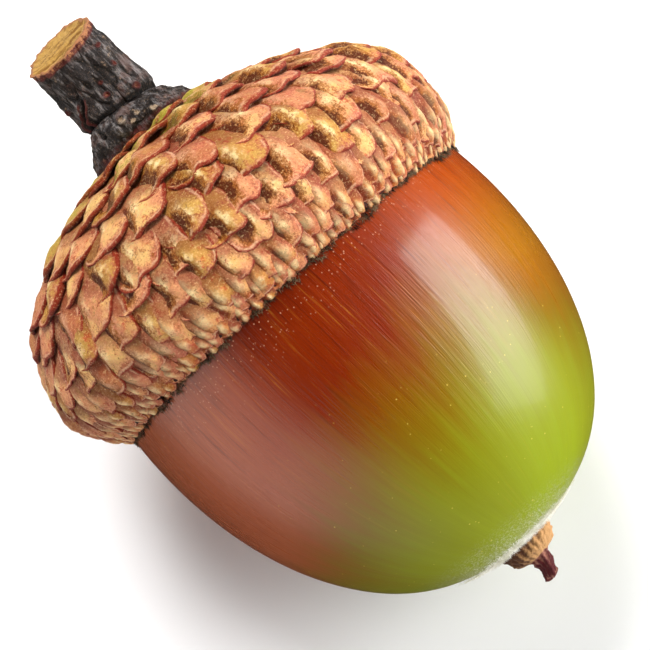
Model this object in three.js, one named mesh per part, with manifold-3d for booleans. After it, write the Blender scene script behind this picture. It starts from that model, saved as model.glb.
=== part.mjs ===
// A fresh acorn lying on its side: a smooth nut in a scaly cup, still on a short piece of its twig.
// Millimetres, +Z up. The tip of the nut points to +X and leans down, because the cup is the wider of the
// two, and both touch the surface z = 0 with a small flat spot.
//
// Every piece is modelled in the acorn's own frame: +Y runs along the axis of the nut, from the twig to the
// tip, +Z is the upper side as it lies, and the origin is the middle of the cup's rim.
import * as THREE from "three";
import { mergeVertices } from "three/addons/utils/BufferGeometryUtils.js";
import Module from "manifold-3d";

const wasm = await Module();
wasm.setup();

const { degToRad, lerp, smoothstep } = THREE.MathUtils;
const FULL_TURN = 2 * Math.PI;

// The nut. Fullness 2 is an ellipse, and more is blunter.
const NUT_RADIUS = 11;
const NUT_WAIST = 3; // from the cup's rim to the widest ring
const NUT_TIP_LENGTH = 13.95; // from the widest ring to the tip's end
const NUT_TIP_FULLNESS = 2.42;
const NUT_BASE_LENGTH = 11.5; // from the widest ring to the base, inside the cup
const NUT_BASE_FULLNESS = 4.2;

// The remains of the flower on the tip: a ribbed collar, and the dried style in it.
const COLLAR_RADIUS = 1.53;
const COLLAR_HEIGHT = 1.25;
const COLLAR_SUNK = 0.4; // its foot reaches this far down the round of the nut
const COLLAR_SQUARENESS = 0.6; // 1 is a round bun, less is squarer
const COLLAR_RIBS = 18;
const COLLAR_RIB_DEPTH = 0.06;
const COLLAR_OFFSET = 0.73; // off the nut's axis
const STYLE_RADIUS = 0.44;
const STYLE_LENGTH = 1.35;
const STYLE_HOLLOW = 0.86; // its end is hollow down to this share of its length
const STYLE_LOBES = 3;
const STYLE_LOBE_DEPTH = 0.28; // a share of its radius
const STYLE_BEND = 0.28; // how far its end leans

// The cup, measured over its scales.
const CUP_RADIUS = 12.5;
const CUP_BELLY = 3.4; // from the rim back to the widest ring
const CUP_CROWN = 7.8; // from the widest ring back to the top
const CUP_CROWN_POWER = 1.093; // 1 is an ellipse, more is more like a cone
const CUP_LIP_INSET = 1.45; // from the widest ring in to the rim
const CUP_RIM_SLOPE = 0.062; // the rim isn't quite square to the nut
const CUP_SHOULDER_SHIFT = 0.7; // one shoulder is fuller than the other

// The scales of the cup, in the spiral of a pine cone, large near the twig and fine at the rim. Thickness,
// half sizes and root are for a scale whose visible face is 1 mm wide, and grow with the width of its face.
const GOLDEN_ANGLE = Math.PI * (3 - Math.sqrt(5));
const SCALE_WIDTH = 3.5; // the full width of one scale, near the twig
const SCALE_RIM_SHARE = 0.24; // the share of that width left at the rim
const SCALE_FADE_LENGTH = 3.2; // how far from the rim the scales are still finer
const SCALE_FADE_POWER = 1.3;
const SCALE_FACE = 0.4; // area of the face left showing, a share of the square of the full width
const SCALE_RING = 2.4; // radius round the stalk where the first scales stand
const SCALE_THICKNESS = 0.27;
const SCALE_HALF_WIDTH = 0.62;
const SCALE_HALF_LENGTH = 0.72;
const SCALE_ROOT = 1.08; // how far a scale reaches back under its neighbours
const SCALE_FINEST = 0.8; // a face this narrow stands no higher than the wall between the scales
const SCALE_FULL = 1.25; // a face this wide stands at its full height

// The stalk is the gnarled knuckle on the cup's top, and the twig is the cut piece beyond it.
const STALK_RADIUS = 2.5;
const STALK_FOOT = -10.4;
const STALK_TOP = -12.5; // where the twig begins
const STALK_OFFSET = 0.8; // off the nut's axis
const STALK_LOBES = 3;
const STALK_LOBE_DEPTH = 0.28;
const STALK_FLATNESS = 0.9; // its height as it lies, as a share of its width
const STALK_TILT = 0.18; // the joint with the twig slopes across by this much in a millimetre
const TWIG_RADIUS = 2.02;
const TWIG_LENGTH = 4.45;
const TWIG_FLARE = 0.2; // wider by this at the stalk
const TWIG_RISE = degToRad(10); // it leans up from the nut's axis
const TWIG_CUT = degToRad(25); // and so does its cut end, from square to that axis
const BARK_RIDGES = 9;
const BARK_RIDGE_DEPTH = 0.07;
const BARK_TWIST = 0.35; // how far the ridges turn in a millimetre, in radians of one ridge

// How it lies, and how the pieces meet.
const LEAN = degToRad(10.6); // the axis of the nut, down from level
const FLAT_DEPTH = 0.16; // how much of the nut's belly its flat spot takes off
const GAP = 0.05; // between two pieces that touch

// Mesh resolution, round the axis and along it.
const NUT_TURNS = 48;
const NUT_STEPS = 20;
const CUP_TURNS = 100;
const CUP_STEPS = 32;
const COLLAR_TURNS = 54;
const STYLE_TURNS = 24;
const TWIG_TURNS = 36;

// A point of the nut's outline, [radius, height], at an angle up from its widest ring.
function nutPoint(angle, grow = 0) {
  const length = angle > 0 ? NUT_TIP_LENGTH : NUT_BASE_LENGTH;
  const fullness = angle > 0 ? NUT_TIP_FULLNESS : NUT_BASE_FULLNESS;
  const radius = (NUT_RADIUS + grow) * Math.max(0, Math.cos(angle)) ** (2 / fullness);
  return new THREE.Vector2(radius, NUT_WAIST + (length + grow) * Math.sin(angle));
}

// Points of the nut's outline between two angles. Those that end at a pole end on the axis.
function nutOutline(from, to, steps, grow = 0) {
  const outline = [];
  for (let i = 0; i <= steps; i++) {
    const angle = lerp(from, to, i / steps);
    const point = nutPoint(angle, grow);
    if (Math.abs(angle) > Math.PI / 2 - 1e-6) point.x = 0;
    outline.push(point);
  }
  return outline;
}

// Radius of the nut where it lies in the cup, at a height below its widest ring.
function nutRadiusInCup(y) {
  const share = Math.min(1, Math.abs(y - NUT_WAIST) / NUT_BASE_LENGTH);
  return NUT_RADIUS * (1 - share * share) ** (1 / NUT_BASE_FULLNESS);
}

// A closed body from an outline of [radius, height] points that runs from the low end to the high end and
// starts and ends on the axis. reshape moves each vertex, given its turn and its index in the outline.
function turned(outline, turns, reshape = () => {}) {
  const lathe = new THREE.LatheGeometry(outline, turns);
  lathe.deleteAttribute("normal");
  lathe.deleteAttribute("uv");
  const place = lathe.getAttribute("position");
  const point = new THREE.Vector3();
  for (let i = 0; i < place.count; i++) {
    point.fromBufferAttribute(place, i);
    const turn = Math.floor(i / outline.length) % turns;
    reshape(point, (FULL_TURN * turn) / turns, i % outline.length);
    place.setXYZ(i, point.x, point.y, point.z);
  }
  return mergeVertices(lathe, 1e-4);
}

// A geometry as a manifold-3d solid, and a solid as a geometry.
function solidOf(geometry) {
  const bare = geometry.clone();
  bare.deleteAttribute("normal");
  bare.deleteAttribute("uv");
  const merged = mergeVertices(bare, 1e-4);
  const vertProperties = merged.getAttribute("position").array;
  const triVerts = new Uint32Array(merged.index.array);
  return new wasm.Manifold(new wasm.Mesh({ numProp: 3, vertProperties, triVerts }));
}

function geometryOf(solid) {
  const mesh = solid.getMesh();
  const geometry = new THREE.BufferGeometry();
  geometry.setAttribute("position", new THREE.BufferAttribute(mesh.vertProperties, 3));
  return geometry.setIndex(new THREE.BufferAttribute(mesh.triVerts, 1));
}

function piece(name, geometry, color, roughness) {
  const mesh = new THREE.Mesh(geometry, new THREE.MeshStandardMaterial({ color, roughness, metalness: 0 }));
  mesh.name = name;
  return mesh;
}

function nutGeometry(grow = 0) {
  return turned(nutOutline(-Math.PI / 2, Math.PI / 2, NUT_STEPS, grow), NUT_TURNS);
}

// The outer outline of the cup, over its scales, from the top, at 0, to the rim, at 1.
class CupOutline extends THREE.Curve {
  getPoint(t, target = new THREE.Vector2()) {
    const widest = CUP_CROWN / (CUP_CROWN + CUP_BELLY);
    if (t < widest) {
      const angle = (Math.PI / 2) * (1 - t / widest);
      const radius = CUP_RADIUS * Math.max(0, Math.cos(angle)) ** CUP_CROWN_POWER;
      return target.set(radius, -CUP_BELLY - CUP_CROWN * Math.sin(angle));
    }
    const share = (t - widest) / (1 - widest);
    return target.set(CUP_RADIUS - CUP_LIP_INSET * share * share, -CUP_BELLY * (1 - share));
  }
}

// The width of a scale's visible face, at a length from the cup's rim along its outline.
function faceWidth(fromRim) {
  const fade = Math.exp(-((Math.max(0, fromRim) / SCALE_FADE_LENGTH) ** SCALE_FADE_POWER));
  return Math.sqrt(SCALE_FACE) * SCALE_WIDTH * (1 - (1 - SCALE_RIM_SHARE) * fade);
}

// Each scale of the cup: how far along the outline it sits, its turn round the axis and its face's width.
function scalePlaces(outline) {
  const length = outline.getLength();
  const places = [];
  let along = 0;
  while (outline.getPointAt(along / length).x < SCALE_RING) along += 0.1;
  for (let turn = 0; along < length; turn = (turn + GOLDEN_ANGLE) % FULL_TURN) {
    const width = faceWidth(length - along);
    places.push({ along, turn, width });
    along += (width * width) / (FULL_TURN * outline.getPointAt(along / length).x);
  }
  return places;
}

// Height of the coat of scales above the cup's wall.
function coatHeight(places, along, turn, radius) {
  let height = 0;
  for (const place of places) {
    const forward = (along - place.along) / (SCALE_HALF_LENGTH * place.width);
    if (forward > 1 || forward < -SCALE_ROOT / SCALE_HALF_LENGTH) continue;
    const apart = Math.abs(turn - place.turn);
    const aside = (Math.min(apart, FULL_TURN - apart) * radius) / (SCALE_HALF_WIDTH * place.width);
    const reach = forward > 0 ? Math.hypot(forward, aside) : aside;
    if (reach > 1) continue;
    const lift = 0.6 + 0.4 * forward - 0.25 * aside * aside;
    height = Math.max(height, SCALE_THICKNESS * place.width * lift);
  }
  return height;
}

// Slopes the cup's rim, with its inside kept to the nut, and fills one shoulder of its outside.
function shiftCup(point, outside) {
  const before = nutRadiusInCup(point.y);
  point.y -= CUP_RIM_SLOPE * point.x * smoothstep(point.y, -2 * CUP_BELLY, 0);
  const radius = Math.max(1e-6, Math.hypot(point.x, point.z));
  const grown = 1 + (nutRadiusInCup(point.y) - before) / radius;
  point.x *= grown;
  point.z *= grown;
  if (outside) point.x += CUP_SHOULDER_SHIFT * smoothstep(-point.y, 5, 9);
}

// The cup's wall with its scales, which grew in one piece with it.
function cupGeometry(grow = 0) {
  const outer = new CupOutline();
  const length = outer.getLength();
  const places = scalePlaces(outer);
  // The inside has its rings level with those of the nut, so that their facets run side by side.
  const rings = nutOutline(Math.PI / 2, -Math.PI / 2, NUT_STEPS, GAP).filter((point) => point.y < 0);
  const mouth = nutPoint(-Math.asin(NUT_WAIST / NUT_BASE_LENGTH), GAP);
  const outline = [...outer.getSpacedPoints(CUP_STEPS), mouth, ...rings];
  outline[0].x = 0;
  return turned(outline, CUP_TURNS, (point, turn, i) => {
    if (i > 0 && i <= CUP_STEPS) {
      const share = i / CUP_STEPS;
      const tangent = outer.getTangentAt(share);
      const face = faceWidth((1 - share) * length);
      const coat = coatHeight(places, share * length, turn, outline[i].x);
      const relief = smoothstep(face, SCALE_FINEST, SCALE_FULL);
      const lift = (coat - SCALE_THICKNESS * face) * relief + grow;
      point.x += tangent.y * lift * Math.sin(turn);
      point.z += tangent.y * lift * Math.cos(turn);
      point.y -= tangent.x * lift;
    }
    shiftCup(point, i <= CUP_STEPS);
  });
}

// The collar: a squat ribbed bun that sits on the nut, which is cut away from under it.
function collarGeometry() {
  const steps = 7;
  const foot = NUT_WAIST + NUT_TIP_LENGTH - COLLAR_SUNK;
  const lowest = -degToRad(30); // where on its round side the bun begins
  const sideHeight = (COLLAR_HEIGHT + COLLAR_SUNK) / (1 - Math.sin(lowest));
  const outline = [new THREE.Vector2(0, foot)];
  for (let i = 0; i <= steps; i++) {
    const angle = lerp(lowest, Math.PI / 2, i / steps);
    const radius = i < steps ? COLLAR_RADIUS * Math.cos(angle) ** COLLAR_SQUARENESS : 0;
    outline.push(new THREE.Vector2(radius, foot + sideHeight * (Math.sin(angle) - Math.sin(lowest))));
  }
  const bun = turned(outline, COLLAR_TURNS, (point, turn) => {
    const rib = 1 + (COLLAR_RIB_DEPTH / COLLAR_RADIUS) * Math.cos(COLLAR_RIBS * turn);
    point.x = point.x * rib + COLLAR_OFFSET;
    point.z *= rib;
  });
  return geometryOf(solidOf(bun).subtract(solidOf(nutGeometry(GAP))));
}

// The style: a short stump with a lobed, bent end.
function styleGeometry() {
  const foot = NUT_WAIST + NUT_TIP_LENGTH + COLLAR_HEIGHT + GAP;
  const outline = [new THREE.Vector2(0, foot)];
  const steps = 6;
  for (let i = 0; i <= steps; i++) {
    const share = i / steps;
    const waist = 1.3 - 0.6 * Math.sin(0.85 * Math.PI * share) - 0.1 * share;
    outline.push(new THREE.Vector2(STYLE_RADIUS * waist, foot + STYLE_LENGTH * share));
  }
  outline.push(new THREE.Vector2(0, foot + STYLE_LENGTH * STYLE_HOLLOW));
  return turned(outline, STYLE_TURNS, (point, turn) => {
    const share = (point.y - foot) / STYLE_LENGTH;
    const lobe = 1 + STYLE_LOBE_DEPTH * share * Math.cos(STYLE_LOBES * turn);
    point.x = point.x * lobe + COLLAR_OFFSET + STYLE_BEND * share * share;
    point.z *= lobe;
  });
}

// The stalk: a lobed knuckle that is fitted to the scales it stands on.
function stalkGeometry() {
  const outline = [new THREE.Vector2(0, STALK_TOP)];
  const steps = 7;
  const height = STALK_FOOT - STALK_TOP;
  for (let i = 0; i <= steps; i++) {
    const share = i / steps;
    const waist = 0.86 + 0.2 * Math.sin(Math.PI * share) + 0.1 * share;
    outline.push(new THREE.Vector2(STALK_RADIUS * waist, STALK_TOP + height * share));
  }
  outline.push(new THREE.Vector2(0, STALK_FOOT));
  const knuckle = turned(outline, TWIG_TURNS, (point, turn) => {
    const share = (point.y - STALK_TOP) / height;
    const lobe = 1 + (STALK_LOBE_DEPTH / STALK_RADIUS) * Math.cos(STALK_LOBES * turn + 2 * share);
    point.x *= lobe;
    point.y -= STALK_TILT * point.x * (1 - share);
    point.x -= STALK_OFFSET;
    point.z *= lobe * STALK_FLATNESS;
  });
  return geometryOf(solidOf(knuckle).subtract(solidOf(cupGeometry(GAP))));
}

// The twig: a ridged round stub that leans up from the stalk, with a slanted cut.
function twigGeometry() {
  const steps = 8;
  const foot = STALK_TOP - GAP;
  const outline = [new THREE.Vector2(0, foot - TWIG_LENGTH)];
  for (let i = 0; i <= steps; i++) {
    const share = i / steps;
    const radius = TWIG_RADIUS + TWIG_FLARE * share ** 3;
    outline.push(new THREE.Vector2(radius, foot - TWIG_LENGTH * (1 - share)));
  }
  outline.push(new THREE.Vector2(0, foot));
  return turned(outline, TWIG_TURNS, (point, turn) => {
    const out = foot - point.y;
    const ridge = 1 + (BARK_RIDGE_DEPTH / TWIG_RADIUS) * Math.cos(BARK_RIDGES * turn - BARK_TWIST * out);
    point.x *= ridge;
    point.z *= ridge;
    point.y -= STALK_TILT * point.x * (1 - out / TWIG_LENGTH) ** 2;
    point.y += (Math.tan(TWIG_CUT) * point.z * out) / TWIG_LENGTH;
    point.x -= STALK_OFFSET;
    point.z += Math.tan(TWIG_RISE) * out;
  });
}

// The frame of the acorn, which leans so that the tip is low, with the flat spots cut at z = 0.
function lyingAcorn() {
  const acorn = new THREE.Group();
  const along = new THREE.Vector3(Math.cos(LEAN), 0, -Math.sin(LEAN));
  const up = new THREE.Vector3(Math.sin(LEAN), 0, Math.cos(LEAN));
  acorn.setRotationFromMatrix(new THREE.Matrix4().makeBasis(along.clone().cross(up), along, up));
  // The lowest point of the nut's outline decides how high the frame stands.
  const lowest = Math.min(...nutOutline(0, Math.PI / 2, 200).map((p) => -p.y * Math.sin(LEAN) - p.x * Math.cos(LEAN)));
  acorn.position.z = -lowest - FLAT_DEPTH;
  acorn.updateMatrixWorld();

  const slab = new THREE.BoxGeometry(80, 80, 10).translate(0, 0, -5);
  const ground = solidOf(slab.applyMatrix4(acorn.matrixWorld.clone().invert()));
  const onGround = (geometry) => geometryOf(solidOf(geometry).subtract(ground));

  acorn.add(piece("nut", onGround(nutGeometry()), 0x8a5a1e, 0.3));
  acorn.add(piece("tip_collar", collarGeometry(), 0xb07a45, 0.8));
  acorn.add(piece("tip_style", styleGeometry(), 0x5a2a24, 0.8));
  acorn.add(piece("cup", onGround(cupGeometry()), 0xb98b5c, 0.85));
  acorn.add(piece("stalk", stalkGeometry(), 0x4a4644, 0.9));

  acorn.add(piece("twig", twigGeometry(), 0x4f4845, 0.9));
  return acorn;
}

// The part's origin is on the surface, under the middle of the acorn's box.
const acorn = lyingAcorn();
const middle = new THREE.Box3().setFromObject(acorn, true).getCenter(new THREE.Vector3());
acorn.position.x -= middle.x;
acorn.position.y -= middle.y;

const part = new THREE.Group();
part.add(acorn);
export default part;
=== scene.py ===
"""A fresh acorn on a pale floor: a glossy nut in a scaly cup, on a short cut piece of its twig.

Every piece is made in the acorn's own frame, in millimetres: +Y runs along the nut's axis from the twig to
the tip, +Z is the upper side as the acorn lies, and the origin is the middle of the cup's rim. AcornFrame
then lays the piece in the world, in metres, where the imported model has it.
"""

from __future__ import annotations

import logging
import math
from dataclasses import dataclass, field
from enum import Enum
from typing import TypeAlias

import bmesh
import bpy
import numpy as np
from mathutils import Matrix, Vector, noise

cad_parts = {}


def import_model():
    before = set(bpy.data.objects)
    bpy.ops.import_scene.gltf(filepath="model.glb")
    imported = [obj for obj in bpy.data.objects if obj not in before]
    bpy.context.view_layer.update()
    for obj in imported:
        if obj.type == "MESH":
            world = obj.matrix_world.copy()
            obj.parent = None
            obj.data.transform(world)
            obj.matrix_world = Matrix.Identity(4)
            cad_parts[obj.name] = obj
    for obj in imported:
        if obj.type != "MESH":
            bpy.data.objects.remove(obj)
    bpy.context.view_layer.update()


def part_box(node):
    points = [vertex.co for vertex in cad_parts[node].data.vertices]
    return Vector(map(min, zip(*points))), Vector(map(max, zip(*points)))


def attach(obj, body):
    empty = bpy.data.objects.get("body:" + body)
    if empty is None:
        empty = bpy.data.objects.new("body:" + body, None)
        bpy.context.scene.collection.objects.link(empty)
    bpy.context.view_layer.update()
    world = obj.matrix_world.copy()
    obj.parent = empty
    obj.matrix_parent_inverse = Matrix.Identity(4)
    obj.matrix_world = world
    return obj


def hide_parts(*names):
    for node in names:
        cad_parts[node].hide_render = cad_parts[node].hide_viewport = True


LOG = logging.getLogger("acorn")
MM = 0.001
FULL_TURN = 2 * math.pi
GOLDEN_ANGLE = math.pi * (3 - math.sqrt(5))
SEED = 7

Colour: TypeAlias = tuple[float, float, float, float]
Number: TypeAlias = "float | Value"


def srgb(red: int, green: int, blue: int) -> Colour:
    """Turns a colour as a screen shows it, 0 to 255, into the linear colour that a shader takes."""
    shares = (red / 255, green / 255, blue / 255)
    return (*(s / 12.92 if s <= 0.04045 else ((s + 0.055) / 1.055) ** 2.4 for s in shares), 1.0)


# ---------------------------------------------------------------- nodes


class Value:
    """A node's output, for use in Python expressions that add the nodes they need."""

    def __init__(self, nodes: "NodeMaker", socket: bpy.types.NodeSocket) -> None:
        """Wraps a socket of a tree."""
        self.nodes = nodes
        self.socket = socket

    def __add__(self, other: Number) -> "Value":
        """self + other."""
        return self.nodes.math("ADD", self, other)

    def __sub__(self, other: Number) -> "Value":
        """self - other."""
        return self.nodes.math("SUBTRACT", self, other)

    def __rsub__(self, other: Number) -> "Value":
        """other - self."""
        return self.nodes.math("SUBTRACT", other, self)

    def __mul__(self, other: Number) -> "Value":
        """self * other."""
        return self.nodes.math("MULTIPLY", self, other)

    def __truediv__(self, other: Number) -> "Value":
        """self / other."""
        return self.nodes.math("DIVIDE", self, other)

    def __rtruediv__(self, other: Number) -> "Value":
        """other / self."""
        return self.nodes.math("DIVIDE", other, self)

    def __pow__(self, other: Number) -> "Value":
        """self ** other."""
        return self.nodes.math("POWER", self, other)

    def __neg__(self) -> "Value":
        """-self."""
        return self.nodes.math("MULTIPLY", self, -1.0)

    __radd__ = __add__
    __rmul__ = __mul__

    def output(self, name: str) -> "Value":
        """Another output of the same node."""
        return Value(self.nodes, self.nodes.find(self.socket.node.outputs, name))

    def axis(self, name: str) -> "Value":
        """One number, X, Y or Z, of a vector."""
        return self.nodes.add("ShaderNodeSeparateXYZ", inputs={"Vector": self}, output=name)


class NodeMaker:
    """Adds nodes to a tree, in shaders and in geometry alike."""

    def __init__(self, tree: bpy.types.NodeTree) -> None:
        """Starts with an empty tree."""
        self.tree = tree
        tree.nodes.clear()

    @staticmethod
    def find(sockets: bpy.types.bpy_prop_collection, name: str | int | None) -> bpy.types.NodeSocket:
        """Finds one of a node's sockets.

        Args:
            sockets: the node's inputs or outputs.
            name: the socket's name or its place among them, or None for the first one in use.

        Returns:
            The socket, out of those that the node's settings leave in use.
        """
        if isinstance(name, int):
            return sockets[name]
        return next(s for s in sockets if not s.is_unavailable and name in (None, s.name))

    def add(
        self,
        kind: str,
        settings: dict[str, object] | None = None,
        inputs: dict[str | int, object] | None = None,
        output: str | None = None,
    ) -> Value | bpy.types.Node:
        """Adds one node.

        Args:
            kind: the node's type.
            settings: its properties, and "stops" for a ramp's list of (place, colour).
            inputs: a value or another node's Value for each socket, by name.
            output: the name of the output to return, or None for the first.

        Returns:
            The output, or the node itself where it has none.
        """
        node = self.tree.nodes.new(kind)
        for name, value in (settings or {}).items():
            if name == "stops":
                self._set_stops(node.color_ramp.elements, value)
            else:
                setattr(node, name, value)
        for name, value in (inputs or {}).items():
            self.plug(self.find(node.inputs, name), value)
        return Value(self, self.find(node.outputs, output)) if node.outputs else node

    def plug(self, socket: bpy.types.NodeSocket, value: object) -> None:
        """Sets or links a socket.

        Args:
            socket: the socket.
            value: the value it gets, or another node's output, which is linked to it.
        """
        if isinstance(value, Value):
            self.tree.links.new(value.socket, socket)
        else:
            socket.default_value = value

    @staticmethod
    def _set_stops(elements: bpy.types.bpy_prop_collection, stops: list[tuple[float, Colour]]) -> None:
        """Gives a colour ramp its stops.

        Args:
            elements: the ramp's elements.
            stops: the place and the colour of each stop.
        """
        while len(elements) < len(stops):
            elements.new(1.0)
        for element, (place, colour) in zip(elements, stops):
            element.position, element.color = place, colour

    def math(self, operation: str, *values: Number) -> Value:
        """Adds a Math node with that operation."""
        return self.add("ShaderNodeMath", {"operation": operation}, dict(enumerate(values)))

    def highest(self, a: Number, b: Number) -> Value:
        """The larger of two numbers."""
        return self.math("MAXIMUM", a, b)

    def lowest(self, a: Number, b: Number) -> Value:
        """The smaller of two numbers."""
        return self.math("MINIMUM", a, b)

    def bell(self, distance: Value) -> Value:
        """A smooth hump of height 1 at distance 0, which fades over about 1."""
        return self.math("EXPONENT", -(distance * distance))

    def step(self, value: Number, low: float, high: float) -> Value:
        """A smooth step between two limits.

        Args:
            value: what is held against the limits.
            low: where the step is still 0. It may be the larger one.
            high: where the step has reached 1.

        Returns:
            The step, 0 to 1.
        """
        ends = {"From Min": low, "From Max": high} if low < high else {"From Min": high, "From Max": low}
        settings = {"interpolation_type": "SMOOTHSTEP"}
        risen = self.add("ShaderNodeMapRange", settings, {"Value": value, **ends})
        return risen if low < high else 1 - risen

    def vector(self, x: Number, y: Number, z: Number) -> Value:
        """A vector from three numbers."""
        return self.add("ShaderNodeCombineXYZ", inputs={"X": x, "Y": y, "Z": z})

    def vector_math(self, operation: str, *values: object) -> Value:
        """Adds a Vector Math node with that operation."""
        return self.add("ShaderNodeVectorMath", {"operation": operation}, dict(enumerate(values)))

    def scaled(self, vector: Value, by: Number) -> Value:
        """A vector times a number."""
        settings = {"operation": "SCALE"}
        return self.add("ShaderNodeVectorMath", settings, {"Vector": vector, "Scale": by})

    def mix(self, share: Number, a: object, b: object, blend: str = "MIX") -> Value:
        """Mixes two colours: a at share 0, b at share 1."""
        settings = {"data_type": "RGBA", "blend_type": blend, "clamp_factor": True}
        return self.add("ShaderNodeMix", settings, {"Factor": share, "A": a, "B": b})

    def noise(self, place: Value, scale: float, detail: float = 2.0, roughness: float = 0.5) -> Value:
        """Smooth noise about 0.5, with scale bumps in a unit of length."""
        inputs = {"Vector": place, "Scale": scale, "Detail": detail, "Roughness": roughness}
        return self.add("ShaderNodeTexNoise", inputs=inputs)


class Material(NodeMaker):
    """A material about one Principled shader."""

    def __init__(self, name: str, **constants: object) -> None:
        """Starts a material.

        Args:
            name: the material's name.
            constants: what is the same all over the surface, by the shader's socket name with _ for a space.
        """
        self.material = bpy.data.materials.new(name)
        self.material.use_nodes = True
        super().__init__(self.material.node_tree)
        self.shader = self.tree.nodes.new("ShaderNodeBsdfPrincipled")
        output = self.tree.nodes.new("ShaderNodeOutputMaterial")
        self.tree.links.new(self.shader.outputs["BSDF"], output.inputs["Surface"])
        for socket, value in constants.items():
            self.shader.inputs[socket.replace("_", " ")].default_value = value

    def set(self, socket: str, value: object) -> None:
        """Sets or links one socket of the shader."""
        self.plug(self.shader.inputs[socket], value)

    def attribute(self, name: str) -> Value:
        """A mesh attribute, as a number."""
        return self.add("ShaderNodeAttribute", {"attribute_name": name}, output="Fac")

    def local(self) -> Value:
        """The place in the acorn's own frame, in millimetres."""
        return self.add("ShaderNodeAttribute", {"attribute_name": "local"}, output="Vector")

    def bump(self, height: Value, distance_mm: float, strength: float = 1.0) -> None:
        """Raises the surface's normal by a height from 0 to 1 that stands for a distance."""
        inputs = {"Height": height, "Distance": distance_mm * MM, "Strength": strength}
        self.set("Normal", self.add("ShaderNodeBump", inputs=inputs))


class GeometryTree(NodeMaker):
    """A Geometry Nodes tree with named inputs, which ends in real, dressed mesh."""

    def __init__(self, name: str, inputs: dict[str, str]) -> None:
        """Starts a tree.

        Args:
            name: the tree's name.
            inputs: the socket type, such as Float or Int, of each named input.
        """
        super().__init__(bpy.data.node_groups.new(name, "GeometryNodeTree"))
        interface = self.tree.interface
        self.keys: dict[str, str] = {}
        for title, kind in {"Geometry": "Geometry", **inputs, "Material": "Material"}.items():
            socket = interface.new_socket(title, in_out="INPUT", socket_type="NodeSocket" + kind)
            self.keys[title] = socket.identifier
        interface.new_socket("Geometry", in_out="OUTPUT", socket_type="NodeSocketGeometry")
        self.group = self.tree.nodes.new("NodeGroupInput")

    def input(self, title: str) -> Value:
        """One of the tree's named inputs."""
        return Value(self, self.find(self.group.outputs, title))

    def place(self) -> Value:
        """Where each point is."""
        return self.add("GeometryNodeInputPosition")

    def named(self, name: str, kind: str = "FLOAT") -> Value:
        """A named attribute."""
        return self.add("GeometryNodeInputNamedAttribute", {"data_type": kind}, {"Name": name})

    def store(self, geometry: Value, name: str, value: Value, kind: str = "FLOAT") -> Value:
        """Keeps a value on every point as a named attribute."""
        inputs = {"Geometry": geometry, "Name": name, "Value": value}
        return self.add("GeometryNodeStoreNamedAttribute", {"data_type": kind, "domain": "POINT"}, inputs)

    def move(self, geometry: Value, place: Value) -> Value:
        """Moves every point to a place."""
        return self.add("GeometryNodeSetPosition", inputs={"Geometry": geometry, "Position": place})

    def finish(self, geometry: Value) -> None:
        """Ends the tree with real mesh, smooth faces and the material.

        Args:
            geometry: what the tree has made.
        """
        real = self.add("GeometryNodeRealizeInstances", inputs={"Geometry": geometry})
        smooth = self.add("GeometryNodeSetShadeSmooth", inputs={0: real})
        material = self.input("Material")
        dressed = self.add("GeometryNodeSetMaterial", inputs={"Geometry": smooth, "Material": material})
        output = self.tree.nodes.new("NodeGroupOutput")
        self.tree.links.new(dressed.socket, output.inputs["Geometry"])

    def grown(self, name: str, base: bpy.types.Mesh, values: dict[str, object]) -> bpy.types.Mesh:
        """Runs the tree on a mesh.

        Args:
            name: the name of the mesh that is made.
            base: what the tree starts from.
            values: a value for each named input.

        Returns:
            The result as a plain mesh.
        """
        carrier = bpy.data.objects.new(name + ".carrier", base)
        bpy.context.scene.collection.objects.link(carrier)
        modifier = carrier.modifiers.new("grow", "NODES")
        modifier.node_group = self.tree
        for title, value in values.items():
            modifier[self.keys[title]] = value
        seen = carrier.evaluated_get(bpy.context.evaluated_depsgraph_get())
        mesh = bpy.data.meshes.new_from_object(seen)
        mesh.name = name
        bpy.data.objects.remove(carrier)
        return mesh


# ---------------------------------------------------------------- shapes


def noise_at(points: np.ndarray, scale: float, octaves: int = 3) -> np.ndarray:
    """Smooth noise at each of an array's points.

    Args:
        points: the places, any shape of array by 3.
        scale: how many bumps there are in a millimetre.
        octaves: how many layers of ever finer bumps it has.

    Returns:
        The noise, about -1 to 1, for each point.
    """
    fading, finer = 0.7, 2.0
    places = points.reshape(-1, 3) * scale
    values = [noise.fractal(Vector(p), fading, finer, octaves, noise_basis="PERLIN_ORIGINAL") for p in places]
    return np.array(values).reshape(points.shape[:-1])


def cracks_at(points: np.ndarray, scale: float) -> np.ndarray:
    """Narrow cracks: 0 between them and up to 1 in the middle of one."""
    sharpness = 7.0
    return np.exp(-sharpness * np.abs(noise_at(points, scale, 2)))


def bell(distance: np.ndarray) -> np.ndarray:
    """A smooth hump of height 1 at distance 0, which fades over about 1."""
    return np.exp(-distance * distance)


def smooth_step(value: np.ndarray, low: float, high: float) -> np.ndarray:
    """A smooth step from 0 at low to 1 at high."""
    share = np.clip((value - low) / (high - low), 0, 1)
    return share * share * (3 - 2 * share)


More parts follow.
